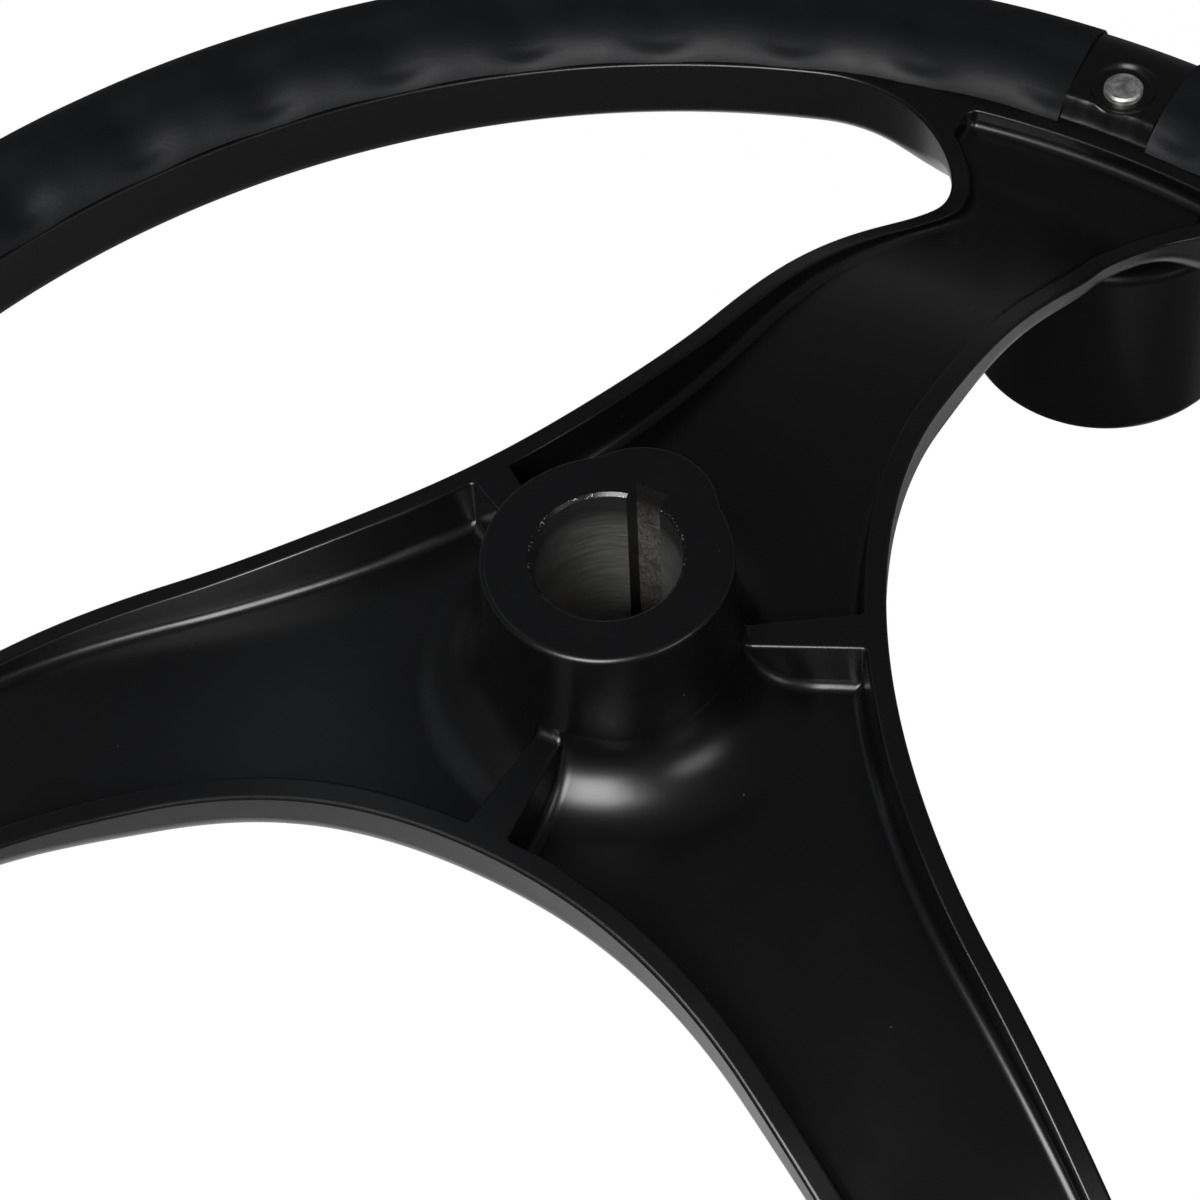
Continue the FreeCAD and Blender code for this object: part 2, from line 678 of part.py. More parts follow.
def main():
    os.makedirs("parts", exist_ok=True)
    centre = vec(0, knob_distance, 0)
    wheel = casting()
    pieces = {
        "wheel_casting": wheel,
        "foam_grip": grip(wheel),
        "hub_cap": hub_cap(),
        "hub_cap_sealing_ring": cap_ring(),
        "knob_stud": stud(),
        "knob_thrust_washer": ring(bearing_bore, washer_radius, seat_z, rim_front_z, centre),
        "bearing_spacer": ring(bearing_bore, inner_ring_radius, lower_seat_z, seat_z - bearing_width, centre),
        "knob_body": knob_body(),
        "knob_cap": knob_cap(),
    }
    for place, top in (("rim", seat_z), ("cap", lower_seat_z)):
        for part, shape in bearing(top).items():
            pieces[place + "_bearing_" + part] = shape
    for name, shape in pieces.items():
        export(name, shape)
        print(name, len(shape.Solids), "solids", round(shape.Volume, 1), "mm3", shape.isValid())


main()
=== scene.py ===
# %% [markdown]
# # A boat's steering wheel, seen from its back
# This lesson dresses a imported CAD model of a 14 inch boat steering wheel. The wheel is one dished
# metal casting under a near-black powder coat, with a foam grip round its rim, a keyed shaft bore in
# its hub and a knob that turns on the rim. Black things show little but their reflections, so two
# matters decide the picture: surfaces that bend exactly as the casting does, and the room round them.
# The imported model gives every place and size. Lengths here are in millimetres until the last step of
# each mesh, and +Z leaves the hub's back, towards the camera.

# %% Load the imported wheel
import math

import bpy
import numpy as np
from mathutils import Matrix, Vector
from mathutils.geometry import delaunay_2d_cdt


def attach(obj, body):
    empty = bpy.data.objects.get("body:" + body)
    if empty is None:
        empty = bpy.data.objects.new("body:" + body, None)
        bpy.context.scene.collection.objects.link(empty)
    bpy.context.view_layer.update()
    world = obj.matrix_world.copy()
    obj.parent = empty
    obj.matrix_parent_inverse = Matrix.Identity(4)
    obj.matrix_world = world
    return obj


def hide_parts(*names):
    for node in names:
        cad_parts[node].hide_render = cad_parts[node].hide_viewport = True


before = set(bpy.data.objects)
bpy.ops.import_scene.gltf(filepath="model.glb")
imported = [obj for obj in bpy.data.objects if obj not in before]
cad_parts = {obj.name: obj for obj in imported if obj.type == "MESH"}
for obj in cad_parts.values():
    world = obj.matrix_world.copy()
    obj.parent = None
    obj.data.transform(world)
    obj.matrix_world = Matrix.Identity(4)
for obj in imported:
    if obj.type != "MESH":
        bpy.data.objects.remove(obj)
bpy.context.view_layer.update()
scene = bpy.context.scene
MM = 0.001

# %% [markdown]
# ## The wheel's sizes
# The mesh follows the same drawing as the CAD model: a few radii, and three height curves that give
# the flange, the pocket floor and the front face at any distance from the axis. A real dish is level
# at the hub and at the rim, so each curve is a cubic spline whose ends are level.

# %% Sizes shared by the casting's surfaces
# In degrees: the spokes' turns, the middle of the window left of the upper one, and a flank's lean.
TURNS, WINDOW_AT, TAPER = (0, 120, 240), 150.0, 3.2
VALLEY, VALLEY_BEND = 34.9, 95.0
VALLEY_REACH = VALLEY + VALLEY_BEND
CORNER_BEND, RIM_INNER, END_WALL = 25.0, 154.4, 152.4
FLANGE, POCKET_HALF, POCKET_CORNER, RIB_CORNER = 3.0, 21.5, 2.0, 0.6
FLANGE_EDGE, WINDOW_EDGE, FRONT_ROUND = 0.5, 0.6, 4.5
WALL_LEAN, FLOOR_BEND = 0.35, 1.6
RIB_INNER, RIB_OUTER = 3.2, 5.6
BOSS, BOSS_DRAFT, BOSS_EDGE, BOSS_ROOT = 15.875, 1.6 / 60.0, 0.8, 10.0
LOBE, LOBE_Y = 9.9, 8.4
HUB_FLOOR, HUB_FRONT, RIM_BACK, RIM_FRONT = -26.3, -28.6, -74.35, -88.3
FOOT = BOSS - BOSS_DRAFT * (HUB_FLOOR + BOSS_ROOT)


# %% A height curve with level ends
def level_curve(points):
    r, z = np.array(points, float).T
    n, gap = len(r), np.diff(r)
    rise = np.diff(z) / gap
    grid, right = np.zeros((n, n)), np.zeros(n)
    grid[0, :2], right[0] = (2 * gap[0], gap[0]), 6 * rise[0]
    grid[-1, -2:], right[-1] = (gap[-1], 2 * gap[-1]), -6 * rise[-1]
    for i in range(1, n - 1):
        grid[i, i - 1:i + 2] = gap[i - 1], 2 * (gap[i - 1] + gap[i]), gap[i]
        right[i] = 6 * (rise[i] - rise[i - 1])
    bent = np.linalg.solve(grid, right)

    def height(at):
        at = np.clip(at, r[0], r[-1])
        i = np.clip(np.searchsorted(r, at) - 1, 0, n - 2)
        a, b, h = r[i + 1] - at, at - r[i], gap[i]
        curved = (bent[i] * a**3 + bent[i + 1] * b**3) / (6 * h)
        return curved + (z[i] / h - bent[i] * h / 6) * a + (z[i + 1] / h - bent[i + 1] * h / 6) * b
    return height


flange_height = level_curve([(30, -18.3), (55, -23.7), (80, -34.6), (105, -52.2), (125, -67.5),
                             (145, RIM_BACK)])
floor_height = level_curve([(FOOT + BOSS_ROOT, HUB_FLOOR), (45, -27.9), (66, -32.8), (80, -38.2),
                            (105, -54.2), (120, -65.8), (132, -74.0), (143, -77.5)])
front_height = level_curve([(34, HUB_FRONT), (62, -35.2), (80, -42.2), (105, -58.8), (120, -70.4),
                            (133, -77.8), (143, -82.4), (152, RIM_FRONT)])
stations = np.arange(100, 145, 4.0)
for name, height in (("spoke", flange_height), ("pocket floor", floor_height)):
    thick = height(stations) - front_height(stations)
    print(f"{name}: {thick.min():.1f} to {thick.max():.1f} mm thick on its outer half")
print(f"dish: {flange_height(34):.2f} to {flange_height(154):.2f} mm")

# %% [markdown]
# ## The outlines in plan
# Seen from behind, every edge of the casting is made of straight runs and arcs that flow into each
# other. Storing them as a list of runs and arcs has two uses: points can be set along them at any
# distance to one side, and the distance from any point to them can be worked out exactly. A wall that
# is nearly upright changes height within a third of a millimetre, so that exactness matters.


# %% Runs and arcs
SLACK, FAR_AWAY = 1e-6, 1e9


def ways(angles):
    # The unit vector at each angle in radians.
    return np.stack([np.cos(angles), np.sin(angles)], 1)


def radius_of(p):
    return np.hypot(p[:, 0], p[:, 1])


def run(start, end, inward):
    start, end, inward = (np.array(v, float) for v in (start, end, inward))
    return {"kind": "run", "a": start, "b": end, "n": inward}


def bend(centre, radius, first, last, grow):
    # grow is +1 where the inside lies away from the centre, and -1 where it lies towards it.
    return {"kind": "bend", "c": np.array(centre, float), "r": radius, "a": first, "b": last,
            "grow": grow}


def along(piece, count, offset, whole=False):
    # Points on one piece, moved inwards by offset. The last point is left to the next piece.
    t = np.linspace(0, 1, count, endpoint=whole)[:, None]
    if piece["kind"] == "run":
        return piece["a"] + (piece["b"] - piece["a"]) * t + piece["n"] * offset
    angle = np.radians(piece["a"] + (piece["b"] - piece["a"]) * t[:, 0])
    return piece["c"] + (piece["r"] + piece["grow"] * offset) * ways(angle)


def inside_distance(pieces, p):
    # How far inside the outline each point lies, by the nearest piece that faces it. Negative outside.
    best = np.full(len(p), FAR_AWAY)
    for piece in pieces:
        if piece["kind"] == "run":
            way = piece["b"] - piece["a"]
            length = np.linalg.norm(way)
            reach = (p - piece["a"]) @ (way / length)
            d = (p - piece["a"]) @ piece["n"]
            faces = (reach > -SLACK) & (reach < length + SLACK)
        else:
            v = p - piece["c"]
            angle = np.degrees(np.arctan2(v[:, 1], v[:, 0]))
            low, high = sorted((piece["a"], piece["b"]))
            angle = low - SLACK + np.mod(angle - low + SLACK, 360)
            d = piece["grow"] * (radius_of(v) - piece["r"])
            faces = angle <= high + SLACK
        closer = faces & (np.abs(d) < np.abs(best))
        best = np.where(closer, d, best)
    return best


# %% The window's edge and the pocket's edge, on the left of the spoke that points up
def degrees_of(v):
    return math.degrees(math.atan2(v[1], v[0]))


def polar(radius, angle):
    return radius * np.array([math.cos(math.radians(angle)), math.sin(math.radians(angle))])


valley = polar(VALLEY_REACH, WINDOW_AT)
flank_in = polar(1, -TAPER)
flank_way = np.array([-flank_in[1], flank_in[0]])
foot = valley + flank_in * (VALLEY_BEND - CORNER_BEND)
corner_reach = RIM_INNER - CORNER_BEND
slide = -foot @ flank_way + math.sqrt((foot @ flank_way)**2 - foot @ foot + corner_reach**2)
corner = foot + flank_way * slide
meets_rim = degrees_of(corner)
window_edge = [
    bend(valley, VALLEY_BEND, WINDOW_AT - 180, -TAPER, 1),
    run(valley + flank_in * VALLEY_BEND, corner + flank_in * CORNER_BEND, flank_in),
    bend(corner, CORNER_BEND, -TAPER, meets_rim, 1),
    bend((0, 0), RIM_INNER, meets_rim, WINDOW_AT, 1),
]

rib_out, rib_side = polar(1, WINDOW_AT), polar(1, WINDOW_AT - 90)
rib_start = rib_out * (BOSS - 1) + rib_side * RIB_INNER / 2
rib_end = rib_out * (VALLEY_REACH - VALLEY_BEND - FLANGE) + rib_side * RIB_OUTER / 2
rib_way = (rib_end - rib_start) / np.linalg.norm(rib_end - rib_start)
rib_in = np.array([rib_way[1], -rib_way[0]])
big, small = VALLEY_BEND + FLANGE, POCKET_CORNER


def on_run_from(centre, radius, start, way, sign):
    # Where a straight line crosses a circle: sign picks the first or the second crossing.
    v = start - centre
    half = v @ way
    return start + way * (-half + sign * math.sqrt(half * half - v @ v + radius * radius))


# The centres of the pocket's three small corners, and the angles at which its arcs meet there.
rib_turn = on_run_from(valley, big + RIB_CORNER, rib_start + rib_in * RIB_CORNER, rib_way, -1)
lane = -POCKET_HALF + small
bend_in = CORNER_BEND + FLANGE
flank_turn = np.array([lane, corner[1] + math.sqrt((bend_in + small)**2 - (lane - corner[0])**2)])
end_turn = np.array([lane, math.sqrt((END_WALL - small)**2 - lane**2)])
at_rib, at_flank = degrees_of(rib_turn - valley), degrees_of(flank_turn - corner)
at_end = degrees_of(end_turn)
pocket_edge = [
    run(rib_start, rib_turn - rib_in * RIB_CORNER, rib_in),
    bend(rib_turn, RIB_CORNER, degrees_of(-rib_in) % 360, (at_rib + 180) % 360, -1),
    bend(valley, big, at_rib, -TAPER, 1),
    run(valley + flank_in * big, corner + flank_in * bend_in, flank_in),
    bend(corner, bend_in, -TAPER, at_flank, 1),
    bend(flank_turn, small, at_flank + 180, 180, -1),
    run((-POCKET_HALF, flank_turn[1]), (-POCKET_HALF, end_turn[1]), (1, 0)),
    bend(end_turn, small, 180, at_end, -1),
    bend((0, 0), END_WALL, at_end, 90, -1),
]
print("window corner at", np.round(corner, 1),
      "pocket corners at", *(np.round(v, 1) for v in (rib_turn, flank_turn, end_turn)))

# %% [markdown]
# ## The height of the back at any point
# The whole back of the casting, apart from the boss's side, can be seen straight from above, so one
# function of x and y holds it all: dished flange, ribs, edge roundings, upright walls, the bend at
# the wall's foot, the pocket floor and the hub's root. The three spokes are one spoke turned, and
# each spoke mirrors itself, so a point is first turned into the upper spoke's left half.

# %% Fold a point into the upper spoke's left half
# How softly the boss and its lobe join, and how that grows with the distance from them.
SOFT, SOFT_GROWTH, SOFT_REACH = 0.5, 0.35, 10
ON_LINE, RIB_ROOT, LEAST_WALL, RIB_END = 1e-4, 1.2, 0.3, 2


def folded(p):
    angle = np.degrees(np.arctan2(p[:, 1], p[:, 0]))
    sector = np.round((angle - 90) / 120) * 120
    a = np.radians(-sector)
    x = p[:, 0] * np.cos(a) - p[:, 1] * np.sin(a)
    y = p[:, 0] * np.sin(a) + p[:, 1] * np.cos(a)
    return np.stack([-np.abs(x), y], 1)


def boss_distance(p):
    # Distance from the boss's outline. A soft minimum joins the round boss and the keyway's lobe.
    a = radius_of(p) - BOSS
    b = np.hypot(p[:, 0], p[:, 1] - LOBE_Y) - LOBE
    soft = SOFT + SOFT_GROWTH * np.clip(np.minimum(a, b), 0, SOFT_REACH)
    near = np.clip(soft - np.abs(a - b), 0, None) / soft
    return np.minimum(a, b) - near * near * soft / 4


def rounding(t):
    # The drop of a quarter round of unit size: 0 where t is 1, and 1 where t is 0.
    return 1 - np.sqrt(np.clip(1 - (1 - np.clip(t, 0, 1))**2, 0, 1))


def snapped(distance):
    # The net is joined in single precision, so a point meant to lie on an outline is put back on it.
    return np.where(np.abs(distance) < ON_LINE, 0, distance)


def back_height(p):
    q, r = folded(p), radius_of(p)
    into_pocket = snapped(inside_distance(pocket_edge, q))
    from_window = snapped(inside_distance(window_edge, q))
    from_boss = snapped(boss_distance(p) - (FOOT - BOSS))
    root = BOSS_ROOT * rounding(from_boss / BOSS_ROOT)
    floor = floor_height(r) + root
    flange = flange_height(r) + rounding(from_boss / RIB_ROOT) * RIB_ROOT
    deep = np.maximum(flange - floor, 0)
    # A shallow wall has smaller roundings.
    share = np.clip(deep / (FLANGE_EDGE + FLOOR_BEND + LEAST_WALL), 0, 1)
    top, low = flange - FLANGE_EDGE * share, floor + FLOOR_BEND * share
    edge = flange - FLANGE_EDGE * share * rounding(-into_pocket / FLANGE_EDGE)
    wall = top + (low - top) * np.clip(into_pocket / WALL_LEAN, 0, 1)
    foot = floor + FLOOR_BEND * share * rounding((into_pocket - WALL_LEAN) / FLOOR_BEND)
    sunk = np.where(into_pocket < WALL_LEAN, wall, foot)
    # At the boss its root may stand higher than a rib.
    ridge = np.where(from_boss < RIB_END, np.maximum(edge, floor), edge)
    z = np.where(into_pocket <= 0, ridge, np.where(deep > 0, sunk, floor))
    return z - WINDOW_EDGE * rounding(from_window / WINDOW_EDGE)


def slopes(height, p, step=0.004):
    # Upward normals of a height function, by small differences.
    dx, dy = np.array([step, 0]), np.array([0, step])
    gx = (height(p + dx) - height(p - dx)) / (2 * step)
    gy = (height(p + dy) - height(p - dy)) / (2 * step)
    n = np.stack([-gx, -gy, np.ones(len(p))], 1)
    return n / np.linalg.norm(n, axis=1)[:, None]


# %% [markdown]
# ## Joining outlines into a skin
# The outlines, moved sideways step by step, become lines of points across each rounding and wall.
# A constrained Delaunay triangulation joins all of them, the hub's rings and a loose grid on the
# floor into one net in plan, and the height function lifts that net. Normals are taken from the
# function and not from the triangles, so reflections stay clean on so glossy a coat.


# %% Points along the outlines
POCKET_COUNTS, WINDOW_COUNTS = (34, 6, 44, 48, 24, 6, 3, 6, 14), (34, 52, 34, 84)


def pocket_points(offset):
    # The pocket's left half from the boss's foot to the mirror line, then the right half back. Past the
    # small corner's centre the rib's side and the valley meet at a point that works out here.
    start = on_run_from(np.zeros(2), FOOT, rib_start + rib_in * offset, rib_way, 1)
    if offset < RIB_CORNER:
        end, turn_from = pocket_edge[0]["b"] + rib_in * offset, at_rib
        corner_piece = [along(pocket_edge[1], POCKET_COUNTS[1], offset)]
    else:
        end = on_run_from(valley, big + offset, rib_start + rib_in * offset, rib_way, -1)
        turn_from, corner_piece = degrees_of(end - valley), []
    side = start + (end - start) * np.linspace(0, 1, POCKET_COUNTS[0], endpoint=False)[:, None]
    arc = bend(valley, big, turn_from, -TAPER, 1)
    parts = [side] + corner_piece + [along(arc, POCKET_COUNTS[2], offset)]
    parts += [along(piece, n, offset) for piece, n in zip(pocket_edge[3:], POCKET_COUNTS[3:])]
    left = np.vstack(parts + [along(pocket_edge[-1], 2, offset, True)[-1:]])
    right = (left * (-1, 1))[::-1]
    return np.vstack([left, right[1:]])


def turned(p, angle):
    c, s = math.cos(math.radians(angle)), math.sin(math.radians(angle))
    return p @ np.array([[c, s], [-s, c]])


def window_points(offset):
    # One whole window, from the middle of its valley round to there again: a half and its mirror image.
    left = np.vstack([along(piece, n, offset) for piece, n in zip(window_edge, WINDOW_COUNTS)]
                     + [along(window_edge[-1], 2, offset, True)[-1:]])
    flip = 2 * np.outer(rib_out, rib_out) - np.eye(2)
    return np.vstack([left, (left @ flip)[::-1][1:-1]])


# Each rounding is taken in steps of a quarter round.
bends = np.radians(np.linspace(0, 90, 8)[1:])
pocket_offsets = [-FLANGE_EDGE, -FLANGE_EDGE * 0.5, -FLANGE_EDGE * 0.134, 0.0, WALL_LEAN]
pocket_offsets += list(WALL_LEAN + FLOOR_BEND * (1 - np.cos(bends)))
window_offsets = [0.0, 0.046, 0.176, 0.372, WINDOW_EDGE]
rings = BOSS_ROOT * (1 - np.cos(np.radians(np.linspace(0, 90, 13)[1:])))
print("lines across a pocket's wall:", len(pocket_offsets), "rings at the hub's root:", len(rings))


# %% A net in plan
MERGE, LEAST_AREA = 1e-7, 1e-9
NEAREST, FARTHEST, HALVINGS = 5.0, 60.0, 46


class Net:
    def __init__(self):
        self.points, self.edges = [], []

    def line(self, p, closed=False):
        start, n = len(self.points), len(p)
        self.dots(p)
        self.edges += [(start + i, start + i + 1) for i in range(n - 1)]
        if closed:
            self.edges.append((start + n - 1, start))

    def dots(self, p):
        self.points += [tuple(v) for v in p]

    def triangles(self, keep):
        # Join everything and keep the triangles whose middle passes the test.
        p, _, faces, *_ = delaunay_2d_cdt([Vector(v) for v in self.points], self.edges, [], 0, MERGE)
        p = np.array([tuple(v) for v in p])
        faces = np.array([f for f in faces if len(f) == 3])
        faces = faces[keep(p[faces].mean(1))]
        a, b, c = (p[faces[:, i]] for i in range(3))
        area = (b[:, 0] - a[:, 0]) * (c[:, 1] - a[:, 1]) - (b[:, 1] - a[:, 1]) * (c[:, 0] - a[:, 0])
        faces = np.where((area < 0)[:, None], faces[:, ::-1], faces)
        return p, faces[np.abs(area) > LEAST_AREA]


def ray_to_level(angle, level):
    # Points of the boss's outline, moved out by level, found in each direction by halving.
    low, high = np.full(len(angle), NEAREST), np.full(len(angle), FARTHEST)
    way = ways(angle)
    for _ in range(HALVINGS):
        mid = (low + high) / 2
        over = boss_distance(way * mid[:, None]) > level
        high, low = np.where(over, mid, high), np.where(over, low, mid)
    return way * ((low + high) / 2)[:, None]


# The rings round the hub share the angles at which the pockets' lines end, with others between them.
rib_ends = np.vstack([pocket_points(o)[:1] for o in pocket_offsets])
rib_ends = np.vstack([rib_ends, rib_ends * (-1, 1)])
rib_ends = np.vstack([turned(rib_ends, turn) for turn in TURNS])
hub_angles = np.degrees(np.arctan2(rib_ends[:, 1], rib_ends[:, 0])) % 360
spaced = np.arange(0, 360, 2.5) + 0.6
far = np.min(np.abs((spaced[:, None] - hub_angles[None] + 180) % 360 - 180), axis=1) > 1.0
hub_angles = np.radians(np.unique(np.round(np.concatenate([hub_angles, spaced[far]]), 7)))
hub_foot = ray_to_level(hub_angles, FOOT - BOSS)
print("points round the hub's foot:", len(hub_foot))

# %% The back of the casting
BACK_EDGE, FRONT_EDGE, GRID_HALF, WINDOW_MARGIN = 158.0, 159.3, 156, 2
net = Net()
net.line(hub_foot, closed=True)
rim_circle = ways(np.radians(np.arange(0, 360, 1.0)))
net.line(rim_circle * BACK_EDGE, closed=True)
for offset in window_offsets:
    for turn in TURNS:
        net.line(turned(window_points(offset), turn), closed=True)
for offset in pocket_offsets:
    for turn in TURNS:
        net.line(turned(pocket_points(offset), turn))


def free_floor(p, margin):
    q = folded(p)
    clear = inside_distance(pocket_edge, q) > WALL_LEAN + FLOOR_BEND + margin
    return clear & (inside_distance(window_edge, q) > WINDOW_MARGIN) & (radius_of(p) < END_WALL)


def loose_grid(wide, deep):
    # Points in staggered rows, over the whole wheel.
    gx, gy = np.meshgrid(*(np.arange(-GRID_HALF, GRID_HALF + 1, step) for step in (wide, deep)))
    gx = gx + (np.arange(len(gx)) % 2)[:, None] * wide / 2
    return np.stack([gx.ravel(), gy.ravel()], 1)


for ring in rings:
    p = ray_to_level(hub_angles, FOOT - BOSS + ring)
    net.dots(p[free_floor(p, 0.25)])
grid = loose_grid(2.6, 2.25)
net.dots(grid[(boss_distance(grid) > FOOT - BOSS + BOSS_ROOT + 1.0) & free_floor(grid, 0.9)])


def on_back(p):
    clear = inside_distance(window_edge, folded(p)) > 0
    return clear & (boss_distance(p) > FOOT - BOSS) & (radius_of(p) < BACK_EDGE)


back_plan, back_faces = net.triangles(on_back)
print("back:", len(back_plan), "points", len(back_faces), "triangles")

# %% [markdown]
# ## Walls, front and nose
# From the back's outlines the metal goes straight down to the front. The window walls end in a
# generous round, and that round is what catches the light along each spoke when the wheel is seen
# from its front. Each surface below starts on the very points where the one before it ended, so the
# joined casting is closed.


# %% A casting gathered from surfaces
class Skin:
    def __init__(self):
        self.points, self.normals, self.faces, self.finish = [], [], [], []

    def add(self, points, normals, faces, finish=0):
        start = sum(len(p) for p in self.points)
        self.points.append(np.asarray(points, float))
        self.normals.append(np.asarray(normals, float))
        self.faces += [tuple(int(i) + start for i in f) for f in faces]
        self.finish += [finish] * len(faces)

    def band(self, rows, normals, closed=True, finish=0):
        # Rows of matching points joined by quads.
        rows, normals = np.asarray(rows, float), np.asarray(normals, float)
        count, wide = rows.shape[:2]
        last = wide if closed else wide - 1
        faces = []
        for i in range(count - 1):
            for j in range(last):
                k = (j + 1) % wide
                faces.append((i * wide + j, i * wide + k, (i + 1) * wide + k, (i + 1) * wide + j))
        self.add(rows.reshape(-1, 3), normals.reshape(-1, 3), faces, finish)

    def object(self, name):
        # Each face is turned so that its front agrees with the normals of its corners.
        points, normals = np.vstack(self.points) * MM, np.vstack(self.normals)
        draft = bpy.data.meshes.new(name + "_draft")
        draft.from_pydata(points, [], self.faces)
        fronts = np.empty(len(self.faces) * 3)
        draft.polygons.foreach_get("normal", fronts)
        wanted = np.array([normals[list(f)].mean(0) for f in self.faces])
        agrees = (fronts.reshape(-1, 3) * wanted).sum(1) >= 0
        bpy.data.meshes.remove(draft)
        mesh = bpy.data.meshes.new(name)
        mesh.from_pydata(points, [], [f if good else f[::-1] for f, good in zip(self.faces, agrees)])
        mesh.polygons.foreach_set("use_smooth", [True] * len(self.faces))
        mesh.polygons.foreach_set("material_index", self.finish)
        mesh.normals_split_custom_set_from_vertices(normals)
        thing = bpy.data.objects.new(name, mesh)
        scene.collection.objects.link(thing)
        return thing


def lifted(p, z):
    z = np.broadcast_to(np.asarray(z, float), (len(p),))
    return np.stack([p[:, 0], p[:, 1], z], 1)


def revolved(profile, angles, outward):
    # A profile of (radius, height) turned about the axis; outward gives each profile point's normal.
    way = ways(angles)
    return [lifted(way * r, z) for r, z in profile], [lifted(way * a, b) for a, b in outward]


def rounded(corner_r, corner_z, radius, start, end, steps):
    # Profile points and outward normals on an arc, angles in degrees in the (radius, height) plane.
    t = np.radians(np.linspace(start, end, steps))
    return [(corner_r + radius * math.cos(a), corner_z + radius * math.sin(a)) for a in t], \
        [(math.cos(a), math.sin(a)) for a in t]


skin = Skin()
skin.add(lifted(back_plan, back_height(back_plan)), slopes(back_height, back_plan), back_faces)

# %% Window walls and their round onto the front
NUDGE = 0.05
front_loops = []


def front_at(p):
    return front_height(radius_of(p))


for turn in TURNS:
    edge = turned(window_points(0.0), turn)
    inner = turned(window_points(NUDGE), turn)
    out = (edge - inner) / np.linalg.norm(edge - inner, axis=1)[:, None]
    flat = lifted(out, 0)
    high = flange_height(radius_of(edge)) - WINDOW_EDGE
    low = front_at(edge) + FRONT_ROUND
    skin.band([lifted(edge, high + (low - high) * t) for t in (0, 0.34, 0.67, 1)], [flat] * 4)
    rows, normals = [], []
    for a in np.radians(np.linspace(0, 90, 9)):
        p = turned(window_points(FRONT_ROUND * (1 - math.cos(a))), turn)
        rows.append(lifted(p, front_at(p) + FRONT_ROUND * (1 - math.sin(a))))
        n = flat * math.cos(a) - slopes(front_at, p) * math.sin(a)
        normals.append(n / np.linalg.norm(n, axis=1)[:, None])
    skin.band(rows, normals)
    front_loops.append(rows[-1][:, :2])

# %% The front face
NOSE, NOSE_ROOT, NOSE_EDGE, NOSE_FACE, SOCKET, SEAT = 26.0, 4.0, 1.5, -38.0, 22.0, -30.0
FRONT_START, GRID_FROM, GRID_TO, GRID_MARGIN = NOSE + NOSE_ROOT, 31.5, 157.5, 1.2
net = Net()
net.line(rim_circle * FRONT_EDGE, closed=True)
nose_angles = np.radians(np.arange(0, 360, 3.0))
nose_circle = ways(nose_angles)
net.line(nose_circle * FRONT_START, closed=True)
for loop in front_loops:
    net.line(loop, closed=True)


def on_front(p, start=FRONT_START, end=FRONT_EDGE, margin=0):
    r, clear = radius_of(p), inside_distance(window_edge, folded(p)) > FRONT_ROUND + margin
    return clear & (r > start) & (r < end)


grid = loose_grid(3.6, 3.1)
net.dots(grid[on_front(grid, GRID_FROM, GRID_TO, GRID_MARGIN)])
plan, faces = net.triangles(on_front)
skin.add(lifted(plan, front_at(plan)), -slopes(front_at, plan), faces[:, ::-1])
skin.band([lifted(rim_circle * BACK_EDGE, RIM_BACK), lifted(rim_circle * FRONT_EDGE, RIM_FRONT)],
          [lifted(rim_circle, 0)] * 2)

# %% The round nose with the nut's socket
root, root_n = rounded(NOSE + NOSE_ROOT, HUB_FRONT - NOSE_ROOT, NOSE_ROOT, 90, 180, 9)
edge, edge_n = rounded(NOSE - NOSE_EDGE, NOSE_FACE + NOSE_EDGE, NOSE_EDGE, 0, -90, 7)
for profile, outward in ((root, [(-a, -b) for a, b in root_n]), ([root[-1], edge[0]], [(1, 0)] * 2),
                         (edge, edge_n), ([edge[-1], (SOCKET, NOSE_FACE)], [(0, -1)] * 2),
                         ([(SOCKET, NOSE_FACE), (SOCKET, SEAT)], [(-1, 0)] * 2)):
    skin.band(*revolved(profile, nose_angles, outward))
print("casting without its boss and pad:", len(skin.faces), "faces")

# %% [markdown]
# ## Hub boss, bore and keyway
# The boss's side and its rounded edge are level lines of the boss distance, laid at the same angles
# as the hub's foot. The bore tapers by one in twenty four, and its keyway's floor runs parallel to
# that. Both are bare metal with finishes of their own, and so has the chipped mouth.


# %% Boss side, edge and top
def level_normals(p):
    step = 0.01
    gx = boss_distance(p + (step, 0)) - boss_distance(p - (step, 0))
    gy = boss_distance(p + (0, step)) - boss_distance(p - (0, step))
    n = np.stack([gx, gy, np.zeros(len(p))], 1)
    return n / np.linalg.norm(n, axis=1)[:, None]


rows, normals = [], []
for z in np.linspace(HUB_FLOOR + BOSS_ROOT, -BOSS_EDGE, 9):
    p = ray_to_level(hub_angles, -BOSS_DRAFT * z)
    rows.append(lifted(p, z))
    normals.append(level_normals(p))
for a in np.radians(np.linspace(15, 90, 6)):
    p = ray_to_level(hub_angles, BOSS_DRAFT * BOSS_EDGE - BOSS_EDGE * (1 - math.cos(a)))
    rows.append(lifted(p, -BOSS_EDGE * (1 - math.sin(a))))
    normals.append(level_normals(p) * math.cos(a) + np.array([0, 0, math.sin(a)]))
skin.band(rows, normals)
boss_top = rows[-1][:, :2]

# %% Bore and keyway
BORE, BORE_TAPER, BORE_LEAN, MOUTH = 9.525, 1 / 24, 0.04, 0.4
KEY_HALF, KEY_REACH = 2.381, 11.7
BORE_POINTS, BORE_ROWS = 96, 16
WALL, KEY_FLOOR, KEY_SIDE, CHIPPED = 1, 2, 3, 4


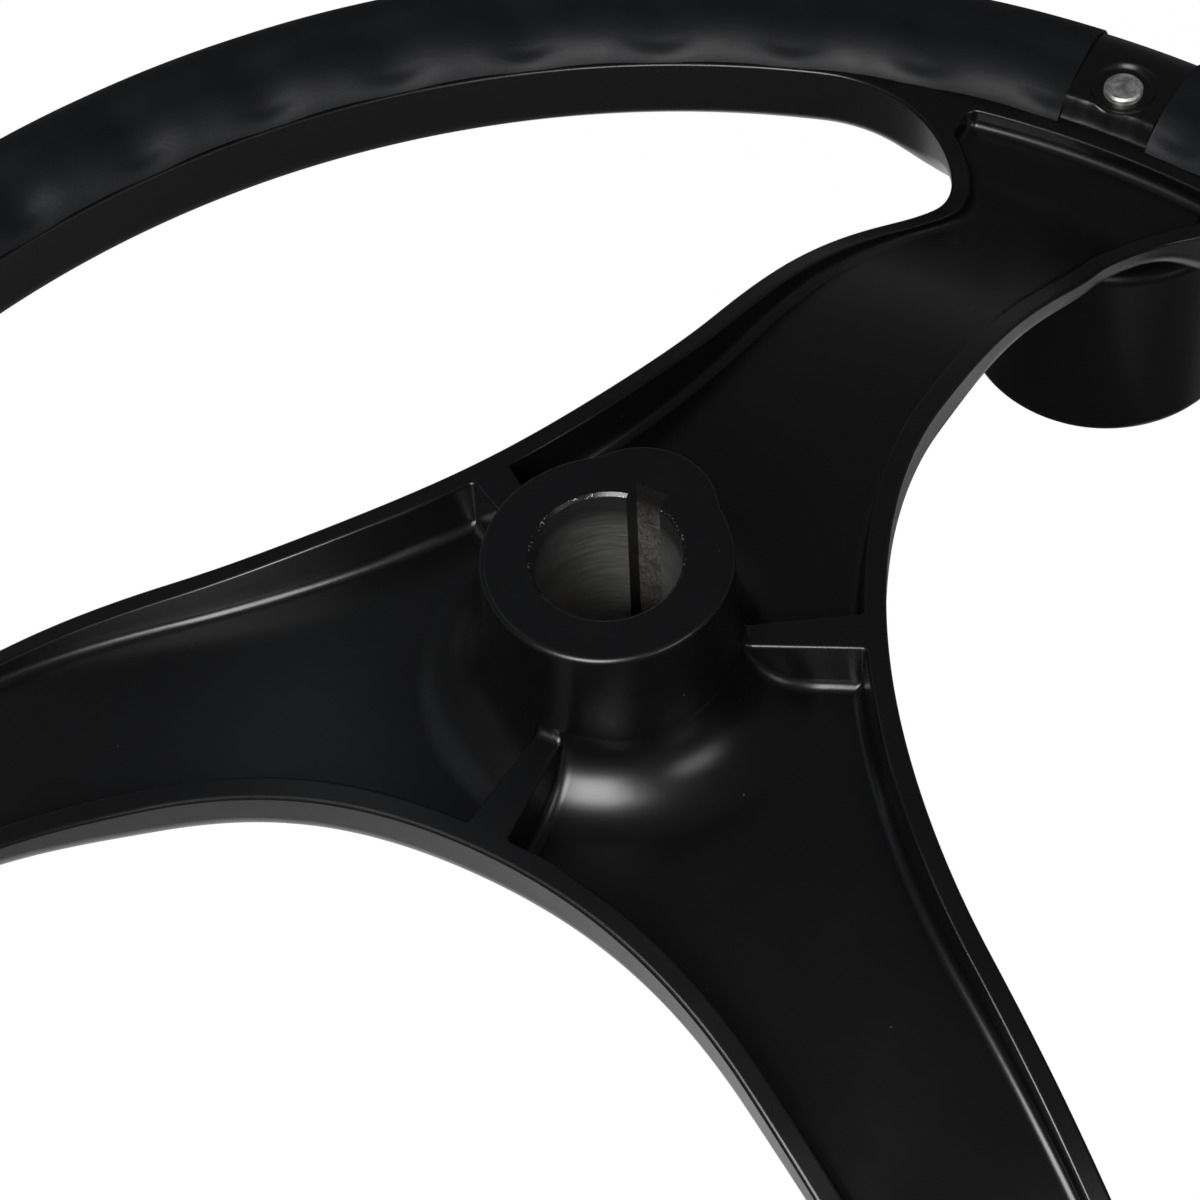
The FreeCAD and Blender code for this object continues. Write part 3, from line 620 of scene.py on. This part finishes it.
def bore_row(radius, reach):
    # The bore's outline from one side of the keyway round to the other, and the keyway's own corners.
    half = math.asin(KEY_HALF / radius)
    arc = radius * ways(np.linspace(math.pi / 2 + half, 2.5 * math.pi - half, BORE_POINTS))
    return arc, np.array([[KEY_HALF, reach], [-KEY_HALF, reach]])


heights = [0, -MOUTH] + list(np.linspace(-MOUTH, SEAT, BORE_ROWS)[1:])
radii = [BORE + MOUTH] + [BORE + z * BORE_TAPER for z in heights[1:]]
reaches = [KEY_REACH + z * BORE_TAPER for z in heights]
outlines = [bore_row(r, k) for r, k in zip(radii, reaches)]
arcs = [lifted(arc, z) for (arc, _), z in zip(outlines, heights)]
inward = [lifted(-arc[:, :2] / np.linalg.norm(arc[:, :2], axis=1)[:, None], BORE_LEAN) for arc in arcs]
slant = math.sqrt(0.5)
skin.band(arcs[:2], [lifted(n[:, :2] * slant, slant) for n in inward[:2]], closed=False, finish=CHIPPED)
skin.band(arcs[1:], inward[1:], closed=False, finish=WALL)
right = [np.vstack([arc[-1], lifted(keys, z)[0]]) for arc, (_, keys), z in zip(arcs, outlines, heights)]
floor = [lifted(keys, z) for (_, keys), z in zip(outlines, heights)]
left = [np.vstack([lifted(keys, z)[1], arc[0]]) for arc, (_, keys), z in zip(arcs, outlines, heights)]
for rows, normal, finish in ((right, (-1, 0, 0), KEY_SIDE), (floor, (0, -1, BORE_LEAN), KEY_FLOOR),
                             (left, (1, 0, 0), KEY_SIDE)):
    skin.band(rows, [[normal] * 2] * len(rows), closed=False, finish=finish)


def ring_face(outer, end, within):
    # The level face between an outer line and the bore's outline at its first or last height.
    def keep(p):
        key = (np.abs(p[:, 0]) < KEY_HALF) & (p[:, 1] > 0) & (p[:, 1] < reaches[end])
        return (radius_of(p) > radii[end]) & ~key & within(p)
    net = Net()
    net.line(outer, closed=True)
    net.line(np.vstack(outlines[end]), closed=True)
    return net.triangles(keep)


plan, faces = ring_face(boss_top, 0, lambda p: boss_distance(p) < BOSS_DRAFT * BOSS_EDGE - BOSS_EDGE)
skin.add(lifted(plan, 0), [(0, 0, 1)] * len(plan), faces)
plan, faces = ring_face(nose_circle * SOCKET, -1, lambda p: radius_of(p) < SOCKET)
skin.add(lifted(plan, SEAT), [(0, 0, -1)] * len(plan), faces[:, ::-1])
print("boss top:", len(boss_top), "points; bore from", round(radii[1], 3), "to", round(radii[-1], 3))

# %% [markdown]
# ## The knob's pad
# The rim is bare metal for a few degrees where the knob's stud screws in. The pad is the grip's
# section again, a little smaller, with a shallow dish round the stud's threaded end. Its back is one
# more height function: the slope at its inner side, a little uneven as cast, less the dish.

# %% Pad
PAD_HALF, PAD_BACK, PAD_IN, PAD_EDGE, RIM_OUT = 2.8, -70.7, 155.6, 2.5, 177.8
PAD_HIGH, PAD_LOW = 8.8, 7.8
STUD, STUD_AT, DISH, DISH_FLOOR, DISH_DEEP, DISH_STEP = 3.175, 163.0, 5.95, 4.5, 0.9, 0.145
turns = np.radians(90 + np.linspace(-PAD_HALF, PAD_HALF, 17))
high, high_n = rounded(RIM_OUT - PAD_HIGH, PAD_BACK - PAD_HIGH, PAD_HIGH, 90, 0, 14)
bottom, bottom_n = rounded(RIM_OUT - PAD_LOW, RIM_FRONT + PAD_LOW, PAD_LOW, 0, -90, 14)
for profile, outward in ((high, high_n), ([high[-1], bottom[0]], [(1, 0)] * 2), (bottom, bottom_n),
                         ([(PAD_IN, RIM_FRONT), (PAD_IN, RIM_BACK)], [(-1, 0)] * 2)):
    skin.band(*revolved(profile, turns, outward), closed=False)
arc, ring_way = ways(turns), ways(np.radians(np.arange(0, 360, 6.0)))
stud_at = np.array([0, STUD_AT])
back_steps = list(PAD_IN + PAD_EDGE * np.linspace(0, 1, 13)[1:-1]) + [158.5, 160, 164, 167]
front_steps = [159, 163, 167]


def pad_height(p):
    # Two sine waves make the slope's start a little uneven.
    r, x = radius_of(p), p[:, 0]
    wave = 0.05 * np.sin(0.9 * x + 0.6) + 0.02 * np.sin(2.3 * x)
    t = np.clip((r - PAD_IN + wave * np.clip(r - PAD_IN, 0, 1)) / PAD_EDGE, 0, 1)
    s = np.clip((DISH - np.hypot(x, p[:, 1] - STUD_AT)) / (DISH - DISH_FLOOR), 0, 1)
    return PAD_BACK - (PAD_BACK - RIM_BACK) * (1 - t * t * (3 - 2 * t)) - DISH_DEEP * s * s * (3 - 2 * s)


def pad_net(steps, high_r, rings):
    # The pad in plan between its inner side and a radius, with the stud's hole in it.
    def keep(p):
        r, aside = radius_of(p), np.abs(np.degrees(np.arctan2(p[:, 0], p[:, 1])))
        return (r > PAD_IN) & (r < high_r) & (aside < PAD_HALF - 0.001) & (radius_of(p - stud_at) > STUD)
    net = Net()
    side = np.array(steps)[:, None]
    border = [arc * PAD_IN, arc[-1] * side, arc[::-1] * high_r, arc[0] * side[::-1]]
    net.line(np.vstack(border), closed=True)
    for ring in [STUD] + rings:
        net.line(ring_way * ring + stud_at, closed=True)
    for step in steps:
        net.dots(arc[1:-1] * step)
    return net.triangles(keep)


plan, faces = pad_net(back_steps, high[0][0], [DISH_FLOOR + DISH_STEP * k for k in range(11)])
skin.add(lifted(plan, pad_height(plan)), slopes(pad_height, plan), faces)
plan, faces = pad_net(front_steps, bottom[-1][0], [])
skin.add(lifted(plan, RIM_FRONT), [(0, 0, -1)] * len(plan), faces)
for side in (0, -1):
    way, reach = arc[side], np.array([PAD_IN] + back_steps)
    back = list(zip(reach, pad_height(way * reach[:, None])))
    section = [(r, RIM_FRONT) for r in front_steps[::-1] + [PAD_IN]] + back + high + bottom
    face = np.array([(way[0] * r, way[1] * r, z) for r, z in section])
    out = np.array([way[1], -way[0], 0]) * (1 if side == 0 else -1)
    skin.add(face, [out] * len(face), [range(len(section))])
hole = ring_way * STUD + stud_at
skin.band([lifted(hole, PAD_BACK - DISH_DEEP), lifted(hole, RIM_FRONT)], [lifted(-ring_way, 0)] * 2)

casting = skin.object("wheel_casting_shape")
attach(casting, "wheel")
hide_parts("wheel_casting")
print("casting:", len(casting.data.vertices), "points", len(casting.data.polygons), "faces")

# %% [markdown]
# ## The foam grip
# The grip is one section swept round the rim. Forty five shallow dips, narrower than the swells
# between them, are pressed into its back and inner side, and its outer edge stays round. The sweep
# stops at the knob's pad.

# %% Grip
GRIP_CREST, GRIP_FRONT, GRIP_START, SEAM = -69.2, -89.2, 154.9, 159.3
GRIP_IN, GRIP_OUT, GRIP_LOW = 4.8, 10.0, 9.0
SWELLS, SWELL_SHIFT, DIP, DIP_SHARP, OPEN_HALF, SWEEP_STEP = 45, -0.4, 1.5, 2.0, 2.85, 0.5
# A dip fades out towards the outer edge, and down to a share of itself at the seam with the casting.
DIP_FROM, DIP_TO, SEAM_FADE, SEAM_SHARE = 162.0, 176.5, 3.0, 0.3
# The inner bend is one arc that rises by GRIP_IN. Its normal starts LEAN degrees from straight up.
LEAN = 60
LEAN_ROUND = 1 / (1 - math.cos(math.radians(LEAN)))
LEAN_WIDE = LEAN_ROUND * math.sin(math.radians(LEAN))


def grip_row(angle):
    # One section at an angle in degrees: points and outward normals in the (radius, height) plane.
    cycle = 0.5 - 0.5 * math.cos(math.radians((angle - 90 - SWELL_SHIFT) * SWELLS))
    dip = DIP * cycle**DIP_SHARP
    a, an = rounded(GRIP_START + GRIP_IN * LEAN_WIDE, GRIP_CREST - GRIP_IN * LEAN_ROUND,
                    GRIP_IN * LEAN_ROUND, 90 + LEAN, 90, 18)
    b, bn = rounded(RIM_OUT - GRIP_OUT, GRIP_CREST - GRIP_OUT, GRIP_OUT, 90, 0, 20)
    flat = [(a[-1][0] + (b[0][0] - a[-1][0]) * t, GRIP_CREST) for t in (0.25, 0.5, 0.75)]
    c, cn = rounded(RIM_OUT - GRIP_LOW, GRIP_FRONT + GRIP_LOW, GRIP_LOW, 0, -90, 14)
    back, back_n = a + flat + b, an + [(0, 1)] * 3 + bn
    sunk, sunk_n = [], []
    for (r, z), (nr, nz) in zip(back, back_n):
        t = min(max((r - DIP_FROM) / (DIP_TO - DIP_FROM), 0), 1)
        u = min((r - GRIP_START) / SEAM_FADE, 1)
        share = (1 - t * t * (3 - 2 * t)) * (SEAM_SHARE + (1 - SEAM_SHARE) * u * u * (3 - 2 * u))
        slope = 6 * t * (1 - t) / (DIP_TO - DIP_FROM) - (1 - SEAM_SHARE) * 6 * u * (1 - u) / SEAM_FADE
        sunk.append((r, z - dip * share))
        nr = nr - nz * dip * slope
        length = math.hypot(nr, nz)
        sunk_n.append((nr / length, nz / length))
    lip = [(SEAM + 1.0, GRIP_FRONT), (SEAM, RIM_FRONT), (SEAM, RIM_BACK - 3)]
    return sunk + c + lip, sunk_n + cn + [(-0.4, -0.9), (-0.9, -0.4), (-1, 0)]


angles = np.append(np.arange(90 + OPEN_HALF, 450 - OPEN_HALF, SWEEP_STEP), 450 - OPEN_HALF)
rows, tilts = [], []
for angle in angles:
    section, outward = grip_row(angle)
    way = polar(1, angle)
    section.append(section[0])
    outward.append((-1, 0))
    rows.append([(way[0] * r, way[1] * r, z) for r, z in section])
    tilts.append([(way[0] * a, way[1] * a, b) for a, b in outward])
rows, tilts = np.array(rows), np.array(tilts)
# The dips tilt the surface along the sweep too: the true normal is square to both directions.
sweep = np.gradient(rows, axis=0)
along_sweep = (sweep * tilts).sum(2) / (sweep * sweep).sum(2)
tilts = tilts - along_sweep[:, :, None] * sweep
tilts /= np.linalg.norm(tilts, axis=2)[:, :, None]
foam_skin = Skin()
foam_skin.band(rows, tilts, closed=False)
for side in (0, -1):
    end, (x, y) = rows[side], polar(1, angles[side])
    out = (y, -x, 0) if side == 0 else (-y, x, 0)
    foam_skin.add(end, [out] * len(end), [range(len(end))])
grip = foam_skin.object("foam_grip_shape")
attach(grip, "wheel")
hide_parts("foam_grip")
print("grip:", len(grip.data.polygons), "faces")

# %% [markdown]
# ## Finishes
# Everything here is nearly black, so the finishes differ in how they throw light back. The casting
# carries a semi-gloss powder coat with a faint orange peel and a few specks of dust, the foam is
# softer and a little bluer, and the bore was cut after coating and shows bare metal. Each finish is a
# short chain of nodes on one surface, so a small class holds what all of them need.


# %% A finish in the making
BORE_DEEP, BORE_SHALLOW = -0.022, -0.003


def set_input(links, socket, value):
    # A number or a colour is set, and another node's output is linked.
    if isinstance(value, tuple):
        socket.default_value = (*value, 1)[:len(socket.default_value)]
    elif isinstance(value, (int, float)):
        socket.default_value = value
    else:
        links.new(value, socket)


class Finish:
    # Its methods add nodes and return their outputs, so that one can be handed to the next.
    def __init__(self, name):
        self.material = bpy.data.materials.new(name)
        self.material.use_nodes = True
        self.nodes, self.links = self.material.node_tree.nodes, self.material.node_tree.links
        self.nodes.clear()
        out = self.nodes.new("ShaderNodeOutputMaterial")
        self.surface = self.nodes.new("ShaderNodeBsdfPrincipled")
        self.links.new(self.surface.outputs["BSDF"], out.inputs["Surface"])
        self.place = self.nodes.new("ShaderNodeTexCoord").outputs["Object"]

    def feed(self, node, **values):
        # An underscore in a name stands for the space in the input's own name.
        for name, value in values.items():
            set_input(self.links, node.inputs[name.replace("_", " ")], value)
        return node

    def node(self, kind, **values):
        return self.feed(self.nodes.new("ShaderNode" + kind), **values)

    def noise(self, scale, detail, stretch=None):
        place = self.place
        if stretch is not None:
            place = self.node("Mapping", Scale=stretch, Vector=place).outputs["Vector"]
        return self.node("TexNoise", Scale=scale, Detail=detail, Vector=place).outputs["Fac"]

    def span(self, value, low, high, from_low=0.35, from_high=0.65):
        # Stretch the part of a value between from_low and from_high to low and high.
        return self.node("MapRange", From_Min=from_low, From_Max=from_high, To_Min=low, To_Max=high,
                         Value=value).outputs["Result"]

    def blend(self, share, first, second):
        # A mix node has sockets for each kind of value: 6 and 7 take its colours, and 2 gives the result.
        mix = self.node("Mix")
        mix.data_type = "RGBA"
        for place, value in ((0, share), (6, first), (7, second)):
            set_input(self.links, mix.inputs[place], value)
        return mix.outputs[2]

    def relief(self, height, depth, strength):
        bump = self.node("Bump", Distance=depth, Strength=strength, Height=height)
        self.feed(self.surface, Normal=bump.outputs["Normal"])

    def specks(self, scale, size):
        # Sparse dots: 1 inside a dot and 0 elsewhere.
        cells = self.node("TexVoronoi", Scale=scale, Vector=self.place)
        return self.span(cells.outputs["Distance"], 1.0, 0.0, size * 0.5, size)

    def depth(self):
        # 0 near the bore's mouth and 1 from 19 mm further in. It masks the painted light that lightens the
        # bore and the keyway deeper in.
        split = self.node("SeparateXYZ", Vector=self.place)
        return self.span(split.outputs["Z"], 1.0, 0.0, BORE_DEEP, BORE_SHALLOW)


# %% Powder coat
def powder_coat():
    coat = Finish("powder_coat")
    dust = coat.specks(160, 0.028)
    colour = coat.blend(dust, (0.0019, 0.0020, 0.0022), (0.04, 0.04, 0.039))
    coat.feed(coat.surface, Base_Color=colour, Roughness=coat.span(coat.noise(60, 3), 0.27, 0.33))
    coat.relief(coat.noise(900, 2), 0.00002, 0.5)
    return coat.material


# %% Foam
def foam():
    soft = Finish("grip_foam")
    colour = soft.blend(soft.noise(160, 3), (0.0030, 0.0034, 0.0044), (0.0066, 0.0074, 0.0094))
    soft.feed(soft.surface, Base_Color=colour, Specular_IOR_Level=0.29,
              Roughness=soft.span(soft.noise(90, 3), 0.46, 0.58))
    soft.relief(soft.noise(1400, 3), 0.00006, 0.6)
    return soft.material


# %% Bare metal
def turned_metal():
    # The bore's wall, finely scored round its axis by the reamer. Its colour runs from near black at the
    # mouth to pale metal deeper in: painted light, standing in for light that comes up the bore from its
    # far end.
    wall = Finish("turned_metal")
    lines = wall.noise(220, 3, (1, 1, 14))
    bare = wall.blend(wall.span(lines, 0.0, 1.0), (0.64, 0.63, 0.61), (0.84, 0.83, 0.80))
    # Painted light: the wall is painted lighter with depth, as if lit up the bore from its far end.
    colour = wall.blend(wall.depth(), (0.05, 0.049, 0.048), bare)
    wall.feed(wall.surface, Base_Color=colour, Metallic=1.0, Roughness=wall.span(lines, 0.60, 0.68))
    wall.relief(lines, 0.00001, 0.3)
    return wall.material


def cut_floor():
    # The keyway's floor: grainy pale metal with darker stains, painted lighter with depth like the bore's
    # wall: painted light.
    floor = Finish("keyway_floor")
    grain, stain = floor.noise(2500, 3), floor.noise(420, 2)
    pale = floor.blend(floor.span(grain, 0.0, 1.0), (0.22, 0.20, 0.175), (0.50, 0.47, 0.43))
    bare = floor.blend(floor.span(stain, 0.0, 0.6, 0.45, 0.7), pale, (0.10, 0.09, 0.08))
    # Painted light: near black at the mouth and pale deeper in, as in the bore's wall.
    colour = floor.blend(floor.depth(), (0.012, 0.011, 0.010), bare)
    floor.feed(floor.surface, Base_Color=colour, Metallic=0.6, Roughness=floor.span(grain, 0.5, 0.65))
    floor.relief(grain, 0.00003, 0.5)
    return floor.material


def cut_side():
    side = Finish("keyway_side")
    lines = side.noise(80, 3, (1, 8, 1))
    colour = side.blend(lines, (0.03, 0.03, 0.03), (0.06, 0.06, 0.057))
    side.feed(side.surface, Base_Color=colour, Metallic=0.8, Roughness=side.span(lines, 0.4, 0.5))
    return side.material


def chipped_mouth():
    # The coat on the mouth's bevel, chipped to bright metal in small places.
    mouth = Finish("chipped_mouth")
    chips = mouth.span(mouth.noise(2600, 3), 0.0, 1.0, 0.62, 0.68)
    colour = mouth.blend(chips, (0.002, 0.002, 0.0022), (0.55, 0.54, 0.52))
    mouth.feed(mouth.surface, Base_Color=colour, Metallic=chips,
               Roughness=mouth.span(chips, 0.28, 0.4, 0.0, 1.0))
    return mouth.material


def bright_steel(name, low, high, fine=300, dull=0.62):
    # low and high are the roughness, fine the grain's scale and dull how light its dark part is.
    steel = Finish(name)
    lines = steel.noise(fine, 3)
    colour = steel.blend(steel.span(lines, 0.0, 1.0), (dull, dull * 0.98, dull * 0.94),
                         (0.78, 0.765, 0.73))
    steel.feed(steel.surface, Base_Color=colour, Metallic=1.0, Roughness=steel.span(lines, low, high))
    steel.relief(lines, 0.00002, 0.4)
    return steel.material


# %% Plastic and rubber
def black_plastic(name, low, high, shine=0.5):
    plastic = Finish(name)
    cloud = plastic.noise(50, 2)
    colour = plastic.blend(cloud, (0.0034, 0.0034, 0.0036), (0.0044, 0.0044, 0.0047))
    plastic.feed(plastic.surface, Base_Color=colour, Specular_IOR_Level=shine,
                 Roughness=plastic.span(cloud, low, high))
    plastic.relief(plastic.noise(1200, 2), 0.00002, 0.4)
    return plastic.material


def rubber():
    seal = Finish("seal_rubber")
    cloud = seal.noise(200, 2)
    colour = seal.blend(cloud, (0.006, 0.006, 0.006), (0.010, 0.010, 0.010))
    seal.feed(seal.surface, Base_Color=colour, Roughness=seal.span(cloud, 0.55, 0.7))
    return seal.material


# %% Each piece gets its finish
coat, steel = powder_coat(), bright_steel("stud_steel", 0.46, 0.58, 900, 0.48)
for finish in (coat, turned_metal(), cut_floor(), cut_side(), chipped_mouth()):
    casting.data.materials.append(finish)
grip.data.materials.append(foam())
satin = black_plastic("knob_plastic", 0.30, 0.36, 0.09)
finishes = {"hub_cap": black_plastic("cap_plastic", 0.30, 0.38), "hub_cap_sealing_ring": rubber(),
            "knob_stud": steel, "knob_body": satin, "knob_cap": satin}
ball_steel = bright_steel("bearing_steel", 0.18, 0.26)
cage_plastic = black_plastic("cage_plastic", 0.4, 0.5)
for name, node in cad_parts.items():
    finish = finishes.get(name, cage_plastic if name.endswith("cage") else ball_steel)
    node.data.materials.clear()
    node.data.materials.append(finish)
print("finished", len(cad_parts), "nodes")

# %% [markdown]
# ## The room
# A wide white floor lies well below the wheel and fills the view behind it. Light Path keeps it white
# to the camera and in reflections, while a share of it still takes the wheel's soft shadow.


# %% Floor
FLOOR_Z, FLOOR_HALF, PAPER, GLOW, GLOW_SHARE = -0.40, 30.0, 0.85, 1.05, 0.93


def floor_finish():
    material = bpy.data.materials.new("white_floor")
    material.use_nodes = True
    nodes, links = material.node_tree.nodes, material.node_tree.links
    nodes.clear()
    out, paint, glow, mix, path = (nodes.new("ShaderNode" + kind) for kind in (
        "OutputMaterial", "BsdfDiffuse", "Emission", "MixShader", "LightPath"))

    def maths(operation, first, second, clamp=False):
        node = nodes.new("ShaderNodeMath")
        node.operation, node.use_clamp = operation, clamp
        for socket, value in zip(node.inputs, (first, second)):
            set_input(links, socket, value)
        return node.outputs[0]

    seen = maths("ADD", path.outputs["Is Camera Ray"], path.outputs["Is Glossy Ray"])
    seen = maths("ADD", seen, path.outputs["Is Transmission Ray"], clamp=True)
    share = maths("MULTIPLY", seen, GLOW_SHARE)
    for socket, value in ((paint.inputs["Color"], (PAPER, PAPER, PAPER)), (glow.inputs["Color"], (1, 1, 1)),
                          (glow.inputs["Strength"], GLOW), (mix.inputs[0], share),
                          (mix.inputs[1], paint.outputs[0]), (mix.inputs[2], glow.outputs[0]),
                          (out.inputs["Surface"], mix.outputs[0])):
        set_input(links, socket, value)
    return material


bpy.ops.mesh.primitive_plane_add(size=2 * FLOOR_HALF, location=(0, 0, FLOOR_Z))
floor = bpy.context.object
floor.name = "studio_floor"
floor.data.materials.append(floor_finish())
print("floor:", FLOOR_Z, "m below the hub's back,", 2 * FLOOR_HALF, "m wide")

# %% [markdown]
# ## Shadow cards and a collar
# Dark cards lie flat under the rim and beyond the knob: painted shadow, where the wheel would shade a table
# close under it. A sloping collar stands round the wheel and dims the floor farther out. Only glossy rays
# meet them, so they darken reflections of the bright floor and cast no shadow.


# %% Shadow cards and a collar
def reflected_card(name, shade, points, faces):
    paint = bpy.data.materials.new(name + "_card")
    paint.use_nodes = True
    surface = paint.node_tree.nodes["Principled BSDF"]
    surface.inputs["Base Color"].default_value = (shade, shade, shade, 1)
    surface.inputs["Roughness"].default_value = 0.9
    mesh = bpy.data.meshes.new(name)
    mesh.from_pydata(points, [], faces)
    card = bpy.data.objects.new(name, mesh)
    scene.collection.objects.link(card)
    mesh.materials.append(paint)
    # Only glossy rays meet a card; the flat ones are painted shadow.
    for kind in ("camera", "diffuse", "transmission", "volume_scatter", "shadow"):
        setattr(card, "visible_" + kind, False)


# Each flat card, a painted shadow: its name, shade, reach in x and in y, and height.
for name, shade, (x0, x1), (y0, y1), z in (("shadow_card_under_rim", 0.25, (-0.17, 0.03), (0.035, 0.145), -0.14),
                                           ("shadow_card_right", 0.10, (0.10, 0.34), (-0.02, 0.22), -0.39),
                                           ("half_shadow_card_far", 0.72, (0.06, 0.34), (0.22, 0.5), -0.39)):
    reflected_card(name, shade, [(x0, y0, z), (x1, y0, z), (x1, y1, z), (x0, y1, z)], [(0, 1, 2, 3)])

# The collar is a cone's side, from its foot just over the floor to its rim at the wheel's height.
COLLAR_X, COLLAR_Y, SIDES = 0.05, 0.08, 36
collar = [(COLLAR_X + x * radius, COLLAR_Y + y * radius, z) for radius, z in ((0.38, -0.395), (0.80, 0.0))
          for x, y in (polar(1, 10 * side) for side in range(SIDES))]
reflected_card("collar_flag", 0.14, collar,
     [(i, (i + 1) % SIDES, SIDES + (i + 1) % SIDES, SIDES + i) for i in range(SIDES)])

# %% [markdown]
# ## Light
# The room above the wheel is dim. One soft box stands on the camera's left, a smaller one on its
# right, and a faint bluish one on the far side for the foam's dips. Flat faces mirror the bright ones
# away from the camera, so only rounded edges show their lines.


# %% World and lamps
world = bpy.data.worlds.new("dim_room")
scene.world = world
world.use_nodes = True
sky = world.node_tree.nodes["Background"].inputs
sky["Color"].default_value, sky["Strength"].default_value = (0.088, 0.09, 0.096, 1), 1.0
WHITE, WHEEL_MIDDLE = (1, 1, 1), Vector((0, 0, -0.04))


def lamp(name, azimuth, height, far, size, radiance, colour=WHITE):
    # A soft box, seen from the wheel's middle at two angles. Its power follows from its radiance.
    light = bpy.data.lights.new(name, "AREA")
    light.shape, light.size, light.size_y = "RECTANGLE", size[0], size[1]
    light.energy, light.color = math.pi * size[0] * size[1] * radiance, colour
    box = bpy.data.objects.new(name, light)
    a, h = math.radians(azimuth), math.radians(height)
    way = Vector((math.cos(h) * math.cos(a), math.cos(h) * math.sin(a), math.sin(h)))
    box.location = WHEEL_MIDDLE + way * far
    box.rotation_euler = way.to_track_quat("Z", "Y").to_euler()
    scene.collection.objects.link(box)


lamp("left_soft_box", -78, 37, 1.2, (0.66, 0.76), 12.5)
lamp("right_soft_box", -12, 22, 1.2, (0.55, 0.36), 3.4)
lamp("far_soft_box", 172, 58, 1.3, (0.7, 0.5), 0.28, (0.80, 0.87, 1.0))
print("lamps:", [(light.name, round(light.energy, 2)) for light in bpy.data.lights])

# %% [markdown]
# ## The camera
# The camera was fitted to the photograph's own circles: boss, bore, rim edges and knob. Its three
# directions, as fitted, are the columns of its matrix.

# %% Camera
lens = bpy.data.cameras.new("camera")
lens.sensor_width, lens.lens = 36.0, 107.733
lens.clip_start, lens.clip_end = 0.02, 60
camera = bpy.data.objects.new("camera", lens)
right = Vector((0.86969, 0.49069, -0.05358))
up = Vector((-0.37357, 0.72526, 0.57831))
back = Vector((0.32262, -0.48293, 0.81406))
turn = Matrix((right, up, back)).transposed().to_4x4()
camera.matrix_world = Matrix.Translation((0.14451, -0.21869, 0.35818)) @ turn
scene.collection.objects.link(camera)
scene.camera = camera
scene.view_settings.view_transform = "Standard"
print("camera:", lens.lens, "mm at", tuple(round(v, 3) for v in camera.matrix_world.translation))
